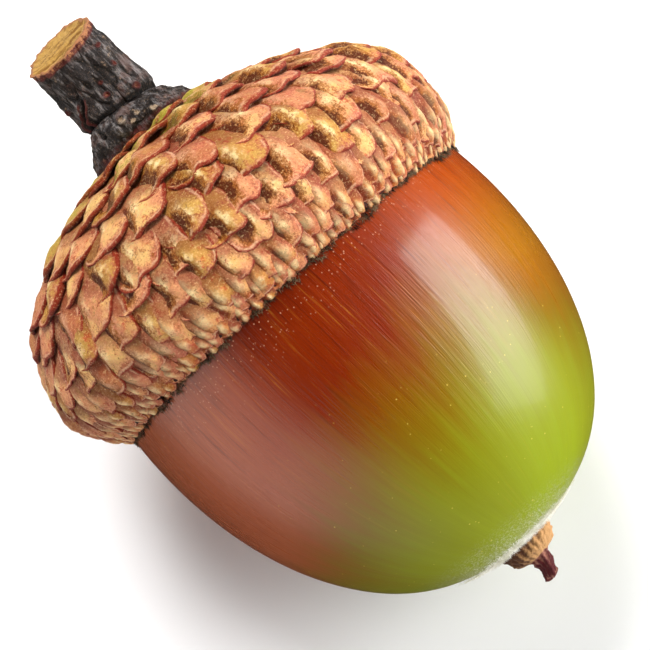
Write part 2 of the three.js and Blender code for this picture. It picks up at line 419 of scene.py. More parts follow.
@dataclass
class Turned:
    """A closed body turned about +Y from an outline that runs from the low end to the high end."""

    radius: np.ndarray
    height: np.ndarray
    turns: int

    def rings(self) -> tuple[np.ndarray, np.ndarray]:
        """The rings of points between the two poles.

        Returns:
            The points, as rings by turns by 3, and the turn of each.
        """
        turn = np.broadcast_to(np.arange(self.turns) * FULL_TURN / self.turns, (len(self.radius), self.turns))
        radius, height = self.radius[:, None], self.height[:, None]
        points = np.stack([radius * np.sin(turn), height + 0 * turn, radius * np.cos(turn)], -1)
        return points, turn

    def mesh(self, name: str, points: np.ndarray, marks: dict[str, np.ndarray]) -> bpy.types.Mesh:
        """Closes rings of points to a mesh.

        Args:
            name: the mesh's name.
            points: the rings, after any reshaping.
            marks: an attribute's name to its value at each ring's points.

        Returns:
            The mesh, with its faces outwards and smooth.
        """
        count, turns = points.shape[:2]
        corner = np.arange(count * turns).reshape(count, turns)
        after = np.roll(corner, -1, axis=1)
        quads = np.stack([corner[:-1], after[:-1], after[1:], corner[1:]], -1).reshape(-1, 4)
        low, high = count * turns, count * turns + 1
        fans = [(after[0, i], corner[0, i], low) for i in range(turns)]
        fans += [(corner[-1, i], after[-1, i], high) for i in range(turns)]
        poles = [points[0].mean(0), points[-1].mean(0)]
        mesh = bpy.data.meshes.new(name)
        mesh.from_pydata([*points.reshape(-1, 3), *poles], [], [*quads.tolist(), *fans])
        for title, values in marks.items():
            ends = [values[0].mean(), values[-1].mean()]
            data = mesh.attributes.new(title, "FLOAT", "POINT").data
            data.foreach_set("value", np.concatenate([values.ravel(), ends]).astype(np.float32))
        mesh.shade_smooth()
        return mesh


def faces_out(mesh: bpy.types.Mesh) -> None:
    """Turns the faces of a closed mesh outwards.

    Args:
        mesh: the mesh, which is changed in place.
    """
    work = bmesh.new()
    work.from_mesh(mesh)
    bmesh.ops.recalc_face_normals(work, faces=work.faces)
    work.to_mesh(mesh)
    work.free()


@dataclass
class NutShape:
    """The outline of the nut, in millimetres. Fullness 2 is an ellipse, and more is blunter.

    Attributes:
        radius: of the widest ring.
        waist: height of the widest ring above the cup's rim.
        tip_length: from there to the tip's end.
        tip_fullness: how blunt the tip is.
        base_length: from the widest ring to the base, in the cup.
        base_fullness: how blunt the base is.
    """

    radius: float
    waist: float = 3.0
    tip_length: float = 13.95
    tip_fullness: float = 2.42
    base_length: float = 11.5
    base_fullness: float = 4.2

    def radius_at(self, height: np.ndarray) -> np.ndarray:
        """The nut's radius.

        Args:
            height: heights above the cup's rim.

        Returns:
            The radius at each height.
        """
        tip = np.clip((height - self.waist) / self.tip_length, 0, 1) ** self.tip_fullness
        base = np.clip((self.waist - height) / self.base_length, 0, 1) ** 2
        tip_radius = (1 - tip) ** (1 / self.tip_fullness)
        return self.radius * tip_radius * (1 - base) ** (1 / self.base_fullness)

    @property
    def tip(self) -> float:
        """Height of the tip's end above the cup's rim."""
        return self.waist + self.tip_length

    def outline(self, steps: int = 400) -> tuple[np.ndarray, np.ndarray]:
        """Radius and height of points along the part of the nut outside the cup."""
        height = np.linspace(0, self.tip, steps)
        return self.radius_at(height), height


class AcornFrame:
    """Where the acorn lies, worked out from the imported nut's box."""

    lean = math.radians(10.6)

    def __init__(self) -> None:
        """Finds the nut's size and the frame's origin."""
        low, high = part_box("nut")
        self.nut = NutShape((high.y - low.y) / 2 / MM)
        radius, height = self.nut.outline()
        sine, cosine = math.sin(self.lean), math.cos(self.lean)
        forward = (height * cosine + radius * sine).max() * MM
        upward = (radius * cosine - height * sine).max() * MM
        self.origin = Vector((high.x - forward, (low.y + high.y) / 2, high.z - upward))
        self.across = Vector((0, -1, 0))
        self.along = Vector((cosine, 0, -sine))
        self.up = Vector((sine, 0, cosine))

    def matrix(self) -> Matrix:
        """Takes millimetres in the acorn's frame to metres in the world."""
        turn = Matrix((self.across, self.along, self.up)).transposed().to_4x4()
        return Matrix.Translation(self.origin) @ turn @ Matrix.Scale(MM, 4)

    def lay(
        self, mesh: bpy.types.Mesh, material: bpy.types.Material, replaced: str, slot: str
    ) -> bpy.types.Object:
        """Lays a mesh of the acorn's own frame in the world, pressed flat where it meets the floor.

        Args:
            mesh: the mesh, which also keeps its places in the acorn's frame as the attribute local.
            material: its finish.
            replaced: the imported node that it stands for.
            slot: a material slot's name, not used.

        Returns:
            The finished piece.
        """
        count = len(mesh.vertices)
        places = np.empty(count * 3, np.float32)
        mesh.vertices.foreach_get("co", places)
        mesh.attributes.new("local", "FLOAT_VECTOR", "POINT").data.foreach_set("vector", places)
        mesh.transform(self.matrix())
        mesh.vertices.foreach_get("co", places)
        places[2::3] = np.maximum(places[2::3], 0)
        mesh.vertices.foreach_set("co", places)
        mesh.update()
        mesh.materials.clear()
        mesh.materials.append(material)
        piece = bpy.data.objects.new(mesh.name, mesh)
        bpy.context.scene.collection.objects.link(piece)
        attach(piece, "root")
        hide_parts(replaced)
        LOG.info("%s: %d faces", piece.name, len(mesh.polygons))
        return piece


@dataclass
class CupOutline:
    """The outline of the cup over its scales, from the top to the rim, in millimetres.

    Attributes:
        radius: of the widest ring.
        belly: how far that ring is below the rim.
        crown: from that ring to the top.
        crown_power: the crown's shape, an ellipse at 1 and more pointed above it.
        lip_inset: how far the rim stands in from the widest ring.
        rim_slope: rise of the rim from side to side, as a slope.
        shoulder_shift: how far one shoulder is filled out.
        shoulder: depths below the rim between which that filling grows.
        steps: points along the crown.
        points: radius and height of each point of the outline.
        lengths: the length along the outline up to each point.
    """

    radius: float = 12.5
    belly: float = 3.4
    crown: float = 7.8
    crown_power: float = 1.093
    lip_inset: float = 1.45
    rim_slope: float = 0.062
    shoulder_shift: float = 0.7
    shoulder: tuple[float, float] = (5.0, 9.0)
    steps: int = 600
    points: np.ndarray = field(init=False)
    lengths: np.ndarray = field(init=False)

    def __post_init__(self) -> None:
        """Works out the outline's points and the length up to each."""
        angle = np.linspace(math.pi / 2, 0, self.steps)
        crown_radius = self.radius * np.cos(angle) ** self.crown_power
        crown = np.stack([crown_radius, -self.belly - self.crown * np.sin(angle)], -1)
        share = np.linspace(0, 1, self.steps // 3)[1:]
        belly = np.stack([self.radius - self.lip_inset * share**2, -self.belly * (1 - share)], -1)
        self.points = np.concatenate([crown, belly])
        strides = np.linalg.norm(np.diff(self.points, axis=0), axis=1)
        self.lengths = np.concatenate([[0], np.cumsum(strides)])

    @property
    def length(self) -> float:
        """From the top to the rim, along the outline."""
        return float(self.lengths[-1])

    @property
    def slope_start(self) -> float:
        """The height at which the slope of the rim starts to tell."""
        return -2 * self.belly

    def radius_at(self, along: float) -> float:
        """The radius at a length along the outline."""
        return float(np.interp(along, self.lengths, self.points[:, 0]))

    def shift(self, points: np.ndarray) -> np.ndarray:
        """Slopes the rim and fills one shoulder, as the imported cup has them.

        Args:
            points: places on an even cup.

        Returns:
            The same places on the sloping one.
        """
        shifted = points.copy()
        near_rim = smooth_step(points[..., 1], self.slope_start, 0)
        shifted[..., 1] -= self.rim_slope * points[..., 0] * near_rim
        shifted[..., 0] += self.shoulder_shift * smooth_step(-points[..., 1], *self.shoulder)
        return shifted

    def rim_height(self, turn: np.ndarray) -> np.ndarray:
        """Height of the sloping rim at a turn round the axis."""
        return -self.rim_slope * (self.radius - self.lip_inset) * np.sin(turn)

    def guide(self, overhang: float) -> bpy.types.Object:
        """The outline as a line of edges, with the radius as X and the height as Y.

        Args:
            overhang: how much longer it is at the rim.

        Returns:
            The line, as an object that a geometry tree can follow.
        """
        ahead = self.points[-1] - self.points[-2]
        end = self.points[-1] + ahead / np.linalg.norm(ahead) * overhang
        points = [(r, y, 0) for r, y in [*self.points, end]]
        mesh = bpy.data.meshes.new("cup_outline")
        mesh.from_pydata(points, [(i, i + 1) for i in range(len(points) - 1)], [])
        guide = bpy.data.objects.new("cup_outline", mesh)
        bpy.context.scene.collection.objects.link(guide)
        return guide


# ---------------------------------------------------------------- finishes


@dataclass(frozen=True)
class NutSkin:
    """Glossy skin: red-brown at the cup, streaked lengthwise, ripening from green at the tip."""

    rim: Colour = srgb(92, 22, 2)
    russet: Colour = srgb(114, 32, 1)
    amber: Colour = srgb(120, 62, 0)
    olive: Colour = srgb(122, 98, 0)
    green: Colour = srgb(126, 128, 1)
    pale_green: Colour = srgb(138, 152, 6)
    orange: Colour = srgb(156, 62, 2)
    tawny: Colour = srgb(154, 98, 1)
    plum_sheen: Colour = srgb(172, 88, 50)
    dark_streak: Colour = srgb(48, 8, 1)
    pale_streak: Colour = srgb(186, 122, 40)
    speck: Colour = srgb(226, 200, 90)
    dust: Colour = srgb(206, 150, 118)
    down: Colour = srgb(236, 236, 226)

    def material(self, shape: NutShape) -> bpy.types.Material:
        """Makes the skin's material.

        Args:
            shape: the nut's outline, which the colours follow from rim to tip.

        Returns:
            The material.
        """
        m = Material("nut_skin", Coat_Roughness=0.12, Coat_IOR=1.5, Specular_IOR_Level=0.4)
        place = m.local()
        x, y, z = (place.axis(a) for a in "XYZ")
        out = m.math("SQRT", x * x + z * z) + 0.01
        side, top = x / out, z / out

        # Streaks that run from rim to tip, from broad to fine.
        broad = m.noise(m.vector(side * 3, y * 0.05, top * 3), 1.0, 2.0)
        streak = m.noise(m.vector(side * 22, y * 0.12, top * 22), 1.0, 4.0, 0.65)
        fine = m.noise(m.vector(side * 80, y * 0.22, top * 80), 1.0, 3.0, 0.7)

        # How ripe each place is: brown at the rim, green at the tip, and greener sooner on one side.
        advance = 2.6 * m.bell((side + 0.5) / 0.28) - 2.0 * side * side - 0.5 * side
        ripe = y + advance + 3.0 * (broad - 0.5) + 3.6 * (streak - 0.5)
        stops = [
            (0.0, self.rim),
            (0.12, self.russet),
            (0.28, self.russet),
            (0.42, self.amber),
            (0.58, self.olive),
            (0.74, self.green),
            (1.0, self.pale_green),
        ]
        colour = m.add("ShaderNodeValToRGB", {"stops": stops}, {"Fac": ripe / shape.tip})
        brown = 1 - m.step(ripe, 5.5, 10.5)
        # Partly painted light: the brown belt turns orange on the side that faces the long key light, and
        # partly the nut's own colour.
        lit_side_tone = m.mix(m.step(y, 1.0, 7.0), self.orange, self.tawny)
        colour = m.mix(brown * m.step(-side, 0.35, 0.85) * 0.9, colour, lit_side_tone)
        # Partly a painted sheen: plum on the side away from the key light, where the room's glow is mirrored,
        # and partly the nut's own colour.
        colour = m.mix(brown * m.step(side, 0.2, 0.8) * 0.75, colour, self.plum_sheen)
        near_rim = 1 - m.step(y, 0.5, 10.0)
        dark = m.step(fine, 0.52, 0.74) * (near_rim * 0.5 + 0.06)
        colour = m.mix(dark, colour, self.dark_streak)
        light = m.step(1 - fine, 0.54, 0.76) * m.step(streak, 0.4, 0.6) * (near_rim * 0.3 + 0.16)
        colour = m.mix(light, colour, self.pale_streak)

        # Pale specks towards the tip, and dust that has fallen from the cup.
        dots = m.add("ShaderNodeTexVoronoi", inputs={"Vector": place, "Scale": 2.3}, output="Distance")
        some = m.step(m.noise(place, 0.8, 2.0), 0.46, 0.6)
        specks = m.step(dots, 0.12, 0.05) * some * m.step(y, 4.0, 10.0)
        grit = m.add("ShaderNodeTexVoronoi", inputs={"Vector": place, "Scale": 4.6}, output="Distance")
        strewn = m.step(m.noise(place, 1.4, 3.0) + 0.25 * m.step(y, 3.0, 0.0), 0.5, 0.62)
        dust = m.step(grit, 0.22, 0.1) * m.step(y, 4.0, 0.4) * strewn
        colour = m.mix(specks * 0.7, colour, self.speck)
        colour = m.mix(dust * 0.6, colour, self.dust)

        # White down, dense round the collar and thin further out.
        offset = x - TipCollar.offset
        from_collar = m.math("SQRT", offset * offset + z * z)
        fuzz = m.noise(place, 9.0, 3.0, 0.8)
        at_tip = m.step(y, shape.waist + 6, shape.tip - 1.5)
        dense = m.step(from_collar, 3.2, 2.0) * m.step(fuzz, 0.2, 0.45)
        sparse = m.step(from_collar, 6.4, 2.4) * m.step(fuzz, 0.5, 0.62) * 0.75
        downy = m.highest(dense, sparse) * at_tip
        m.set("Base Color", m.mix(downy, colour, self.down))
        m.set("Roughness", 0.14 + 0.16 * streak + 0.12 * fine + 0.1 * m.step(y, 7, 14) + 0.45 * downy)
        m.set("Coat Weight", (0.5 - 0.4 * m.step(y, 6, 12)) * (1 - downy))
        ridges = (0.7 * fine + 0.6 * streak) * (1 - 0.75 * m.step(y, 5, 12)) + 0.5 * downy * fuzz
        m.bump(ridges, 0.045)
        return m.material


@dataclass(frozen=True)
class ScaleFinish:
    """Felted, woody scales: tan and ochre, red-brown along the edges, with painted golden-brown shade in the
    hollows and painted cream highlights where they swell.
    """

    tan: Colour = srgb(226, 150, 102)
    straw: Colour = srgb(244, 194, 118)
    olive: Colour = srgb(182, 134, 30)
    cream: Colour = srgb(255, 226, 164)
    mauve: Colour = srgb(186, 84, 70)
    golden: Colour = srgb(160, 88, 8)
    hollow: Colour = srgb(88, 30, 4)
    shadow: Colour = srgb(126, 44, 28)
    margin: Colour = srgb(146, 40, 22)
    edge_highlight: Colour = srgb(226, 178, 140)
    crease_shade: Colour = srgb(66, 20, 11)
    moss: Colour = srgb(184, 176, 50)
    rust: Colour = srgb(206, 78, 30)

    def material(self) -> bpy.types.Material:
        """Makes the scales' material, from the attributes that ScaleCoat leaves on them.

        Returns:
            The material.
        """
        m = Material("cup_scales")
        place = m.local()
        edge, swell, share, hollow = (m.attribute(n) for n in ("edge", "swell", "share", "hollow"))
        covered = m.attribute("covered")
        chance = m.add("ShaderNodeAttribute", {"attribute_name": "chance"}, output="Vector")
        moved = m.vector_math("ADD", place, m.scaled(chance, 37.0))
        patch = m.noise(moved, 0.6, 3.0, 0.6)
        blotch = m.noise(m.vector_math("MULTIPLY", moved, (1.0, 0.6, 1.0)), 1.6, 4.0, 0.65)
        second = m.noise(moved, 2.1, 3.0, 0.6)
        grain = m.noise(place, 8.0, 5.0, 0.85)
        fibre = m.noise(m.vector_math("MULTIPLY", place, (1.0, 0.35, 1.0)), 6.0, 4.0, 0.7)
        speckle = 1.6 * (grain - 0.5) + 0.8 * (fibre - 0.5)

        # The felt of each scale: tan and straw, olive on some, and a painted cream highlight where it swells.
        colour = m.mix(m.step(patch + 0.4 * speckle, 0.4, 0.6), self.tan, self.straw)
        colour = m.mix(m.step(chance.axis("Z") + patch, 0.95, 1.35) * 0.7, colour, self.olive)
        lit = m.step(swell + 1.6 * (second - 0.5) + speckle, 0.55, 0.95)
        colour = m.mix(lit * 0.9, colour, self.cream)

        # Rust in patches, mauve towards the edge, and golden-brown in the hollow.
        reddened = m.step(second + 0.4 * speckle, 0.54, 0.72) * m.step(chance.axis("Y"), 0.2, 0.5)
        colour = m.mix(reddened * 0.9, colour, self.rust)
        near_edge = m.step(edge + 1.2 * (blotch - 0.5) + 0.9 * speckle, 0.55, 0.95)
        reddish = m.highest(near_edge * 0.75, m.step(chance.axis("X") + blotch, 1.0, 1.4) * 0.65)
        # Rust in patches, mauve towards the edge, and golden-brown and dark brown in the hollow: painted
        # shade, mixed with the felt's own darker blotches.
        colour = m.mix(reddish, colour, self.mauve)
        deep = 1.2 * hollow + 1.5 * (blotch - 0.5) + 0.8 * speckle
        colour = m.mix(m.step(deep, 0.16, 0.42) * 0.85, colour, self.golden)
        colour = m.mix(m.step(deep, 0.4, 0.72) * 0.95, colour, self.hollow)

        # The belts: rust and a painted cream highlight by the rim, moss by the stalk, and a painted shadow
        # under the scale in front.
        by_rim = m.step(share, 0.8, 1.0)
        colour = m.mix(by_rim * m.step(patch, 0.35, 0.65) * 0.5, colour, self.rust)
        # Painted highlight: cream on the swellings of the scales by the rim.
        colour = m.mix(by_rim * m.step(swell + speckle, 0.45, 0.9) * 0.7, colour, self.cream)
        by_stalk = m.step(share + 0.2 * (patch - 0.5), 0.44, 0.2)
        colour = m.mix(by_stalk * m.step(blotch + 0.4 * speckle, 0.36, 0.56) * 0.8, colour, self.moss)
        colour = m.mix(m.step(covered + 0.5 * speckle, 0.15, 1.0) * 0.6, colour, self.shadow)

        # The margin: a painted highlight line inside it, red-brown on it, and painted shade, dark, on the
        # skirt below it.
        line = m.step(edge, 0.78, 0.84) * m.step(edge, 0.93, 0.88)
        colour = m.mix(line * m.step(blotch, 0.42, 0.6) * 0.7, colour, self.edge_highlight)
        at_margin = m.step(edge + 0.24 * (blotch - 0.5) + 0.1 * speckle, 0.87, 0.97)
        colour = m.mix(at_margin * 0.9, colour, self.margin)
        colour = m.mix(m.step(edge, 1.1, 1.25), colour, self.crease_shade)
        colour = m.mix(m.step(grain, 0.53, 0.64) * 0.5, colour, self.hollow)
        colour = m.mix(m.step(grain, 0.46, 0.35) * 0.5, colour, self.cream)
        m.set("Base Color", colour)
        m.set("Roughness", 0.6 + 0.2 * grain + 0.1 * blotch)
        m.bump(0.9 * grain + 0.6 * fibre, 0.13)
        return m.material


@dataclass(frozen=True)
class BarkFinish:
    """Charcoal bark with grey bloom and brown cracks, and golden wood where it is cut."""

    charcoal: Colour = srgb(36, 31, 31)
    grey: Colour = srgb(150, 144, 142)
    brown: Colour = srgb(84, 46, 34)
    crack: Colour = srgb(10, 7, 6)
    tan: Colour = srgb(190, 156, 122)
    fleck: Colour = srgb(192, 166, 138)
    wood: Colour = srgb(208, 162, 84)
    wood_dark: Colour = srgb(152, 102, 38)
    wood_light: Colour = srgb(240, 214, 150)
    pith: Colour = srgb(74, 50, 16)
    rind: Colour = srgb(96, 36, 32)
    rind_light: Colour = srgb(184, 124, 82)

    def material(self, name: str) -> bpy.types.Material:
        """Makes the bark's material, from the attributes depth, wood, rind and pith that its piece carries.

        Args:
            name: the material's name.

        Returns:
            The material.
        """
        m = Material(name, Roughness=0.5)
        place = m.local()
        depth, wood, rind, pith = (m.attribute(n) for n in ("depth", "wood", "rind", "pith"))
        drawn = m.vector_math("MULTIPLY", place, (1.0, 0.16, 1.0))
        lengthwise = m.noise(drawn, 4.4, 6.0, 0.78)
        patch = m.noise(place, 1.1, 4.0, 0.6)
        spots = m.noise(place, 3.1, 4.0, 0.7)
        grain = m.noise(place, 14.0, 4.0, 0.8)

        # Bark: charcoal with grey bloom, brown patches and black cracks.
        colour = m.mix(m.step(lengthwise + 0.5 * (patch - 0.5), 0.47, 0.68), self.charcoal, self.grey)
        colour = m.mix(m.step(patch, 0.52, 0.66) * 0.6, colour, self.brown)
        colour = m.mix(m.step(lengthwise, 0.42, 0.34), colour, self.crack)
        colour = m.mix(m.step(spots, 0.6, 0.72) * 0.6, colour, self.tan)
        # Painted shade: near-black by depth in the cracks, the pinched joint and the wound's groove, on top
        # of the cracks' own dark.
        colour = m.mix(m.step(depth, 0.3, 0.75), colour, self.crack)

        # Raw rind at the edges, flecks on the knots, and specks all over.
        reddish = m.mix(m.step(spots, 0.46, 0.62) * m.step(rind, 0.7, 1.0), self.rind, self.rind_light)
        ragged = m.step(rind + 0.8 * (spots - 0.5), 0.25, 0.75)
        colour = m.mix(ragged, colour, reddish)
        flecked = pith + 1.6 * (spots - 0.5) + 1.4 * (grain - 0.5)
        colour = m.mix(m.step(flecked, 0.5, 0.85) * 0.9, colour, self.fleck)
        colour = m.mix(m.step(grain, 0.57, 0.68) * 0.5, colour, self.tan)
        colour = m.mix(m.step(grain, 0.45, 0.34) * 0.75, colour, self.crack)

        # The cut end: wood in torn fibres round its pith.
        across = m.noise(m.vector_math("MULTIPLY", place, (0.5, 1.0, 2.4)), 1.3, 4.0, 0.65)
        cut = m.mix(m.step(across, 0.36, 0.54), self.wood_dark, self.wood)
        cut = m.mix(m.step(rind, 0.3, 0.9), cut, self.rind_light)
        cut = m.mix(m.step(pith, 0.4, 0.8), cut, self.pith)
        cut = m.mix(m.step(grain, 0.62, 0.8) * 0.5, cut, self.wood_light)
        m.set("Base Color", m.mix(m.step(wood, 0.45, 0.6), colour, cut))
        m.bump(0.8 * lengthwise + 0.4 * grain, 0.2)
        return m.material


@dataclass(frozen=True)
class DryFinish:
    """Dry flower remains: a lit colour and a dark one, in fine ribs."""

    name: str
    light: Colour
    dark: Colour

    def material(self) -> bpy.types.Material:
        """Makes the material, in which the attribute shade, 0 to 1, says how dark a place is.

        Returns:
            The material.
        """
        m = Material(self.name, Roughness=0.8)
        place = m.local()
        patch = m.noise(place, 2.2, 4.0, 0.65)
        grain = m.noise(place, 16.0, 4.0, 0.75)
        shade = m.attribute("shade") + 1.1 * (patch - 0.5) + 1.3 * (grain - 0.5)
        m.set("Base Color", m.mix(m.step(shade, 0.15, 0.95), self.light, self.dark))
        m.bump(0.7 * grain + 0.3 * patch, 0.07)
        return m.material


@dataclass(frozen=True)
class HairFinish:
    """Short hairs of one colour, each a little lighter or darker."""

    name: str
    light: Colour
    dark: Colour

    def material(self) -> bpy.types.Material:
        """Makes the hairs' material.

        Returns:
            The material.
        """
        m = Material(self.name, Roughness=0.8, Specular_IOR_Level=0.2)
        tone = m.noise(m.local(), 1.7, 3.0, 0.7)
        m.set("Base Color", m.mix(m.step(tone, 0.35, 0.65), self.dark, self.light))
        return m.material


# ---------------------------------------------------------------- the acorn's pieces


@dataclass
class Nut:
    """The smooth nut, one body turned by the superellipse of its outline.

    Attributes:
        turns: faces round the axis.
        steps: faces from pole to pole.
        unevenness: how far broad waves move the surface, in millimetres.
    """

    frame: AcornFrame
    turns: int = 288
    steps: int = 180
    unevenness: float = 0.035

    def tree(self) -> GeometryTree:
        """A body turned about +Y, a superellipse of its own length and fullness on each side of its waist.

        Returns:
            The tree.
        """
        sizes = dict.fromkeys(("Radius", "Waist", "Tip Length", "Tip Fullness"), "Float")
        sizes |= dict.fromkeys(("Base Length", "Base Fullness", "Unevenness"), "Float")
        tree = GeometryTree("superellipse_body", {**sizes, "Turns": "Int", "Steps": "Int"})
        grid_inputs = {
            "Size X": FULL_TURN,
            "Size Y": math.pi,
            "Vertices X": tree.input("Turns"),
            "Vertices Y": tree.input("Steps"),
        }
        grid = tree.add("GeometryNodeMeshGrid", inputs=grid_inputs)
        turn, angle = tree.place().axis("X"), tree.place().axis("Y")
        at_tip = tree.math("GREATER_THAN", angle, 0.0)
        length, fullness = (
            tree.input("Base " + size) + at_tip * (tree.input("Tip " + size) - tree.input("Base " + size))
            for size in ("Length", "Fullness")
        )
        narrowing = tree.highest(tree.math("COSINE", angle), 0.0) ** (2 / fullness)
        radius = tree.input("Radius") * narrowing
        height = tree.input("Waist") + length * tree.math("SINE", angle)
        place = tree.vector(radius * tree.math("SINE", turn), height, radius * tree.math("COSINE", turn))
        body = tree.move(grid, place)
        closed = tree.add("GeometryNodeMergeByDistance", inputs={"Geometry": body, "Distance": 0.001})
        waves = tree.noise(tree.place(), 0.16, 1.0) - 0.5
        normal = tree.add("GeometryNodeInputNormal")
        uneven = tree.vector_math("ADD", tree.place(), tree.scaled(normal, waves * tree.input("Unevenness")))
        tree.finish(tree.move(closed, uneven))
        return tree

    def build(self) -> bpy.types.Object:
        """Makes the nut.

        Returns:
            The finished piece.
        """
        shape = self.frame.nut
        material = NutSkin().material(shape)
        values = {
            "Radius": shape.radius,
            "Waist": shape.waist,
            "Tip Length": shape.tip_length,
            "Tip Fullness": shape.tip_fullness,
            "Base Length": shape.base_length,
            "Base Fullness": shape.base_fullness,
            "Unevenness": self.unevenness,
            "Turns": self.turns + 1,
            "Steps": self.steps + 1,
            "Material": material,
        }
        mesh = self.tree().grown("nut_body", bpy.data.meshes.new("seed"), values)
        faces_out(mesh)
        return self.frame.lay(mesh, material, "nut", "nut_skin")


class Belt(Enum):
    """A belt of scales: where it ends, as a share of the way from the cup's top, and its subdivisions."""

    CROWN = (0.56, 2)
    SHOULDER = (0.75, 2)
    GIRDLE = (0.88, 2)
    RIM = (1.1, 1)

    @property
    def end(self) -> float:
        """The share of the way to the rim where the belt ends."""
        return self.value[0]

    @property
    def level(self) -> int:
        """How many times its scales are subdivided."""
        return self.value[1]


@dataclass
class ScaleCoat:
    """The cup's coat: a spiral of overlapping shields, large by the stalk and fine at the rim.

    Sizes are in millimetres, and shares are of a scale's width.

    Attributes:
        largest: width of the scales by the stalk.
        rim_share: width of the scales at the rim, as a share of the largest.
        fade_length: how far from the rim the scales start to shrink.
        fade_power: how suddenly they do.
        face_share: the share of its width squared that a scale takes up, less where they overlap more.
        first_radius: radius at which the first scale stands, by the stalk.
        crowded_radius: the least radius that a scale's sides turn about.
        overhang: how much longer than the outline the line is that the last scales follow.
        half_width: from a scale's middle to its side, as a share.
        front: from its middle to its tip, as a share.
        back: from its middle to its root, as a share.
        tilt: how it rises from root to tip, as a share.
        sunk: how deep it sits in the outline, as a share.
        skirt: how deep the skirt drops from its edge, as a share.
        grain: how far noise shakes the surface.
        shake: how far chance moves and sizes a scale, as a share.
        rim_shake: how much more it does so at the rim.
        rim_start: where that begins, as a share of the way from the cup's top.
        columns: faces across the flat grid of a scale.
        rows: faces from root to tip.
    """

    frame: AcornFrame
    outline: CupOutline
    largest: float = 3.5
    rim_share: float = 0.24
    fade_length: float = 3.2
    fade_power: float = 1.3
    face_share: float = 0.4
    first_radius: float = 2.3
    crowded_radius: float = 1.4
    overhang: float = 0.35
    half_width: float = 0.55
    front: float = 0.52
    back: float = 0.8
    tilt: float = 0.065
    sunk: float = 0.12
    skirt: float = 0.09
    grain: float = 0.24
    shake: float = 0.045
    rim_shake: float = 0.05
    rim_start: float = 0.7
    columns: int = 8
    rows: int = 8

    def width_at(self, along: float) -> float:
        """How wide a scale is.

        Args:
            along: its length along the cup's outline.

        Returns:
            Its width.
        """
        from_rim = max(0.0, self.outline.length - along)
        fade = math.exp(-((from_rim / self.fade_length) ** self.fade_power))
        return self.largest * (1 - (1 - self.rim_share) * fade)

    def spiral(self) -> dict[str, np.ndarray]:
        """Lays out the scales from the stalk to the rim, each a golden angle further round than the last.

        Returns:
            The length along the outline, the turn and the width of each.
        """
        rng = np.random.default_rng(SEED)
        rows = []
        along = float(np.interp(self.first_radius, self.outline.points[:, 0], self.outline.lengths))
        turn = 0.0
        while along < self.outline.length + 0.1:
            width = self.width_at(along)
            to_rim = max(0.0, along / self.outline.length - self.rim_start) / (1 - self.rim_start)
            shake = rng.normal(0, self.shake + self.rim_shake * to_rim, 3) * width
            rows.append((along + shake[0], turn + shake[1] / self.outline.radius_at(along), width + shake[2]))
            along += self.face_share * width**2 / (FULL_TURN * self.outline.radius_at(along))
            turn = (turn + GOLDEN_ANGLE) % FULL_TURN
        return dict(zip(("along", "turn", "width"), np.array(rows).T))

    def flat_shields(self, tree: GeometryTree) -> Value:
        """A flat grid for each scale, X across it and Y towards its tip.

        Args:
            tree: the coat's tree.

        Returns:
            The grids, which carry three random numbers of their scale's own as chance.
        """
        random = tree.add(
            "FunctionNodeRandomValue",
            {"data_type": "FLOAT_VECTOR"},
            {"Min": (0, 0, 0), "Max": (1, 1, 1), "Seed": tree.input("Seed")},
        )
        marked = tree.store(tree.input("Geometry"), "chance", random, "FLOAT_VECTOR")
        grid_inputs = {
            "Size X": 2.0,
            "Size Y": 2.0,
            "Vertices X": self.columns + 1,
            "Vertices Y": self.rows + 1,
        }
        grid = tree.add("GeometryNodeMeshGrid", inputs=grid_inputs)
        shields = tree.add("GeometryNodeInstanceOnPoints", inputs={"Points": marked, "Instance": grid})
        return tree.add("GeometryNodeRealizeInstances", inputs={"Geometry": shields})

    def onto_cup(self, tree: GeometryTree, along: Value, turn: Value, aside: Value, height: Value) -> Value:
        """Lays a point on the cup's outline and turns it about the axis.

        Args:
            tree: the coat's tree.
            along: its length along the outline.
            turn: the turn of its scale's middle.
            aside: how far it is to the side of that.
            height: how far it stands out of the outline.

        Returns:
            Its place on an even cup.
        """
        at = tree.highest(along, 0.02)
        outline = {"Object": tree.input("Outline")}
        guide = tree.add("GeometryNodeObjectInfo", inputs=outline, output="Geometry")
        curve = tree.add("GeometryNodeMeshToCurve", inputs={"Mesh": guide})
        inputs = {"Curves": curve, "Length": at}
        sampled = tree.add("GeometryNodeSampleCurve", {"mode": "LENGTH"}, inputs, "Position")
        way = sampled.output("Tangent")
        radius = sampled.axis("X") + way.axis("Y") * height
        level = sampled.axis("Y") - way.axis("X") * height
        around = turn + aside / tree.highest(sampled.axis("X"), self.crowded_radius)
        return tree.vector(radius * tree.math("SINE", around), level, radius * tree.math("COSINE", around))

    def shift(self, tree: GeometryTree, coat: Value) -> Value:
        """Slopes the coat's rim and fills one shoulder, as the outline's own shift does.

        Args:
            tree: the coat's tree.
            coat: the coat on an even cup.

        Returns:
            The coat on the sloping one.
        """
        x, y, z = (tree.place().axis(a) for a in "XYZ")
        sloped = y - self.outline.rim_slope * x * tree.step(y, self.outline.slope_start, 0.0)
        filled = x + self.outline.shoulder_shift * tree.step(-y, *self.outline.shoulder)
        return tree.move(coat, tree.vector(filled, sloped, z))

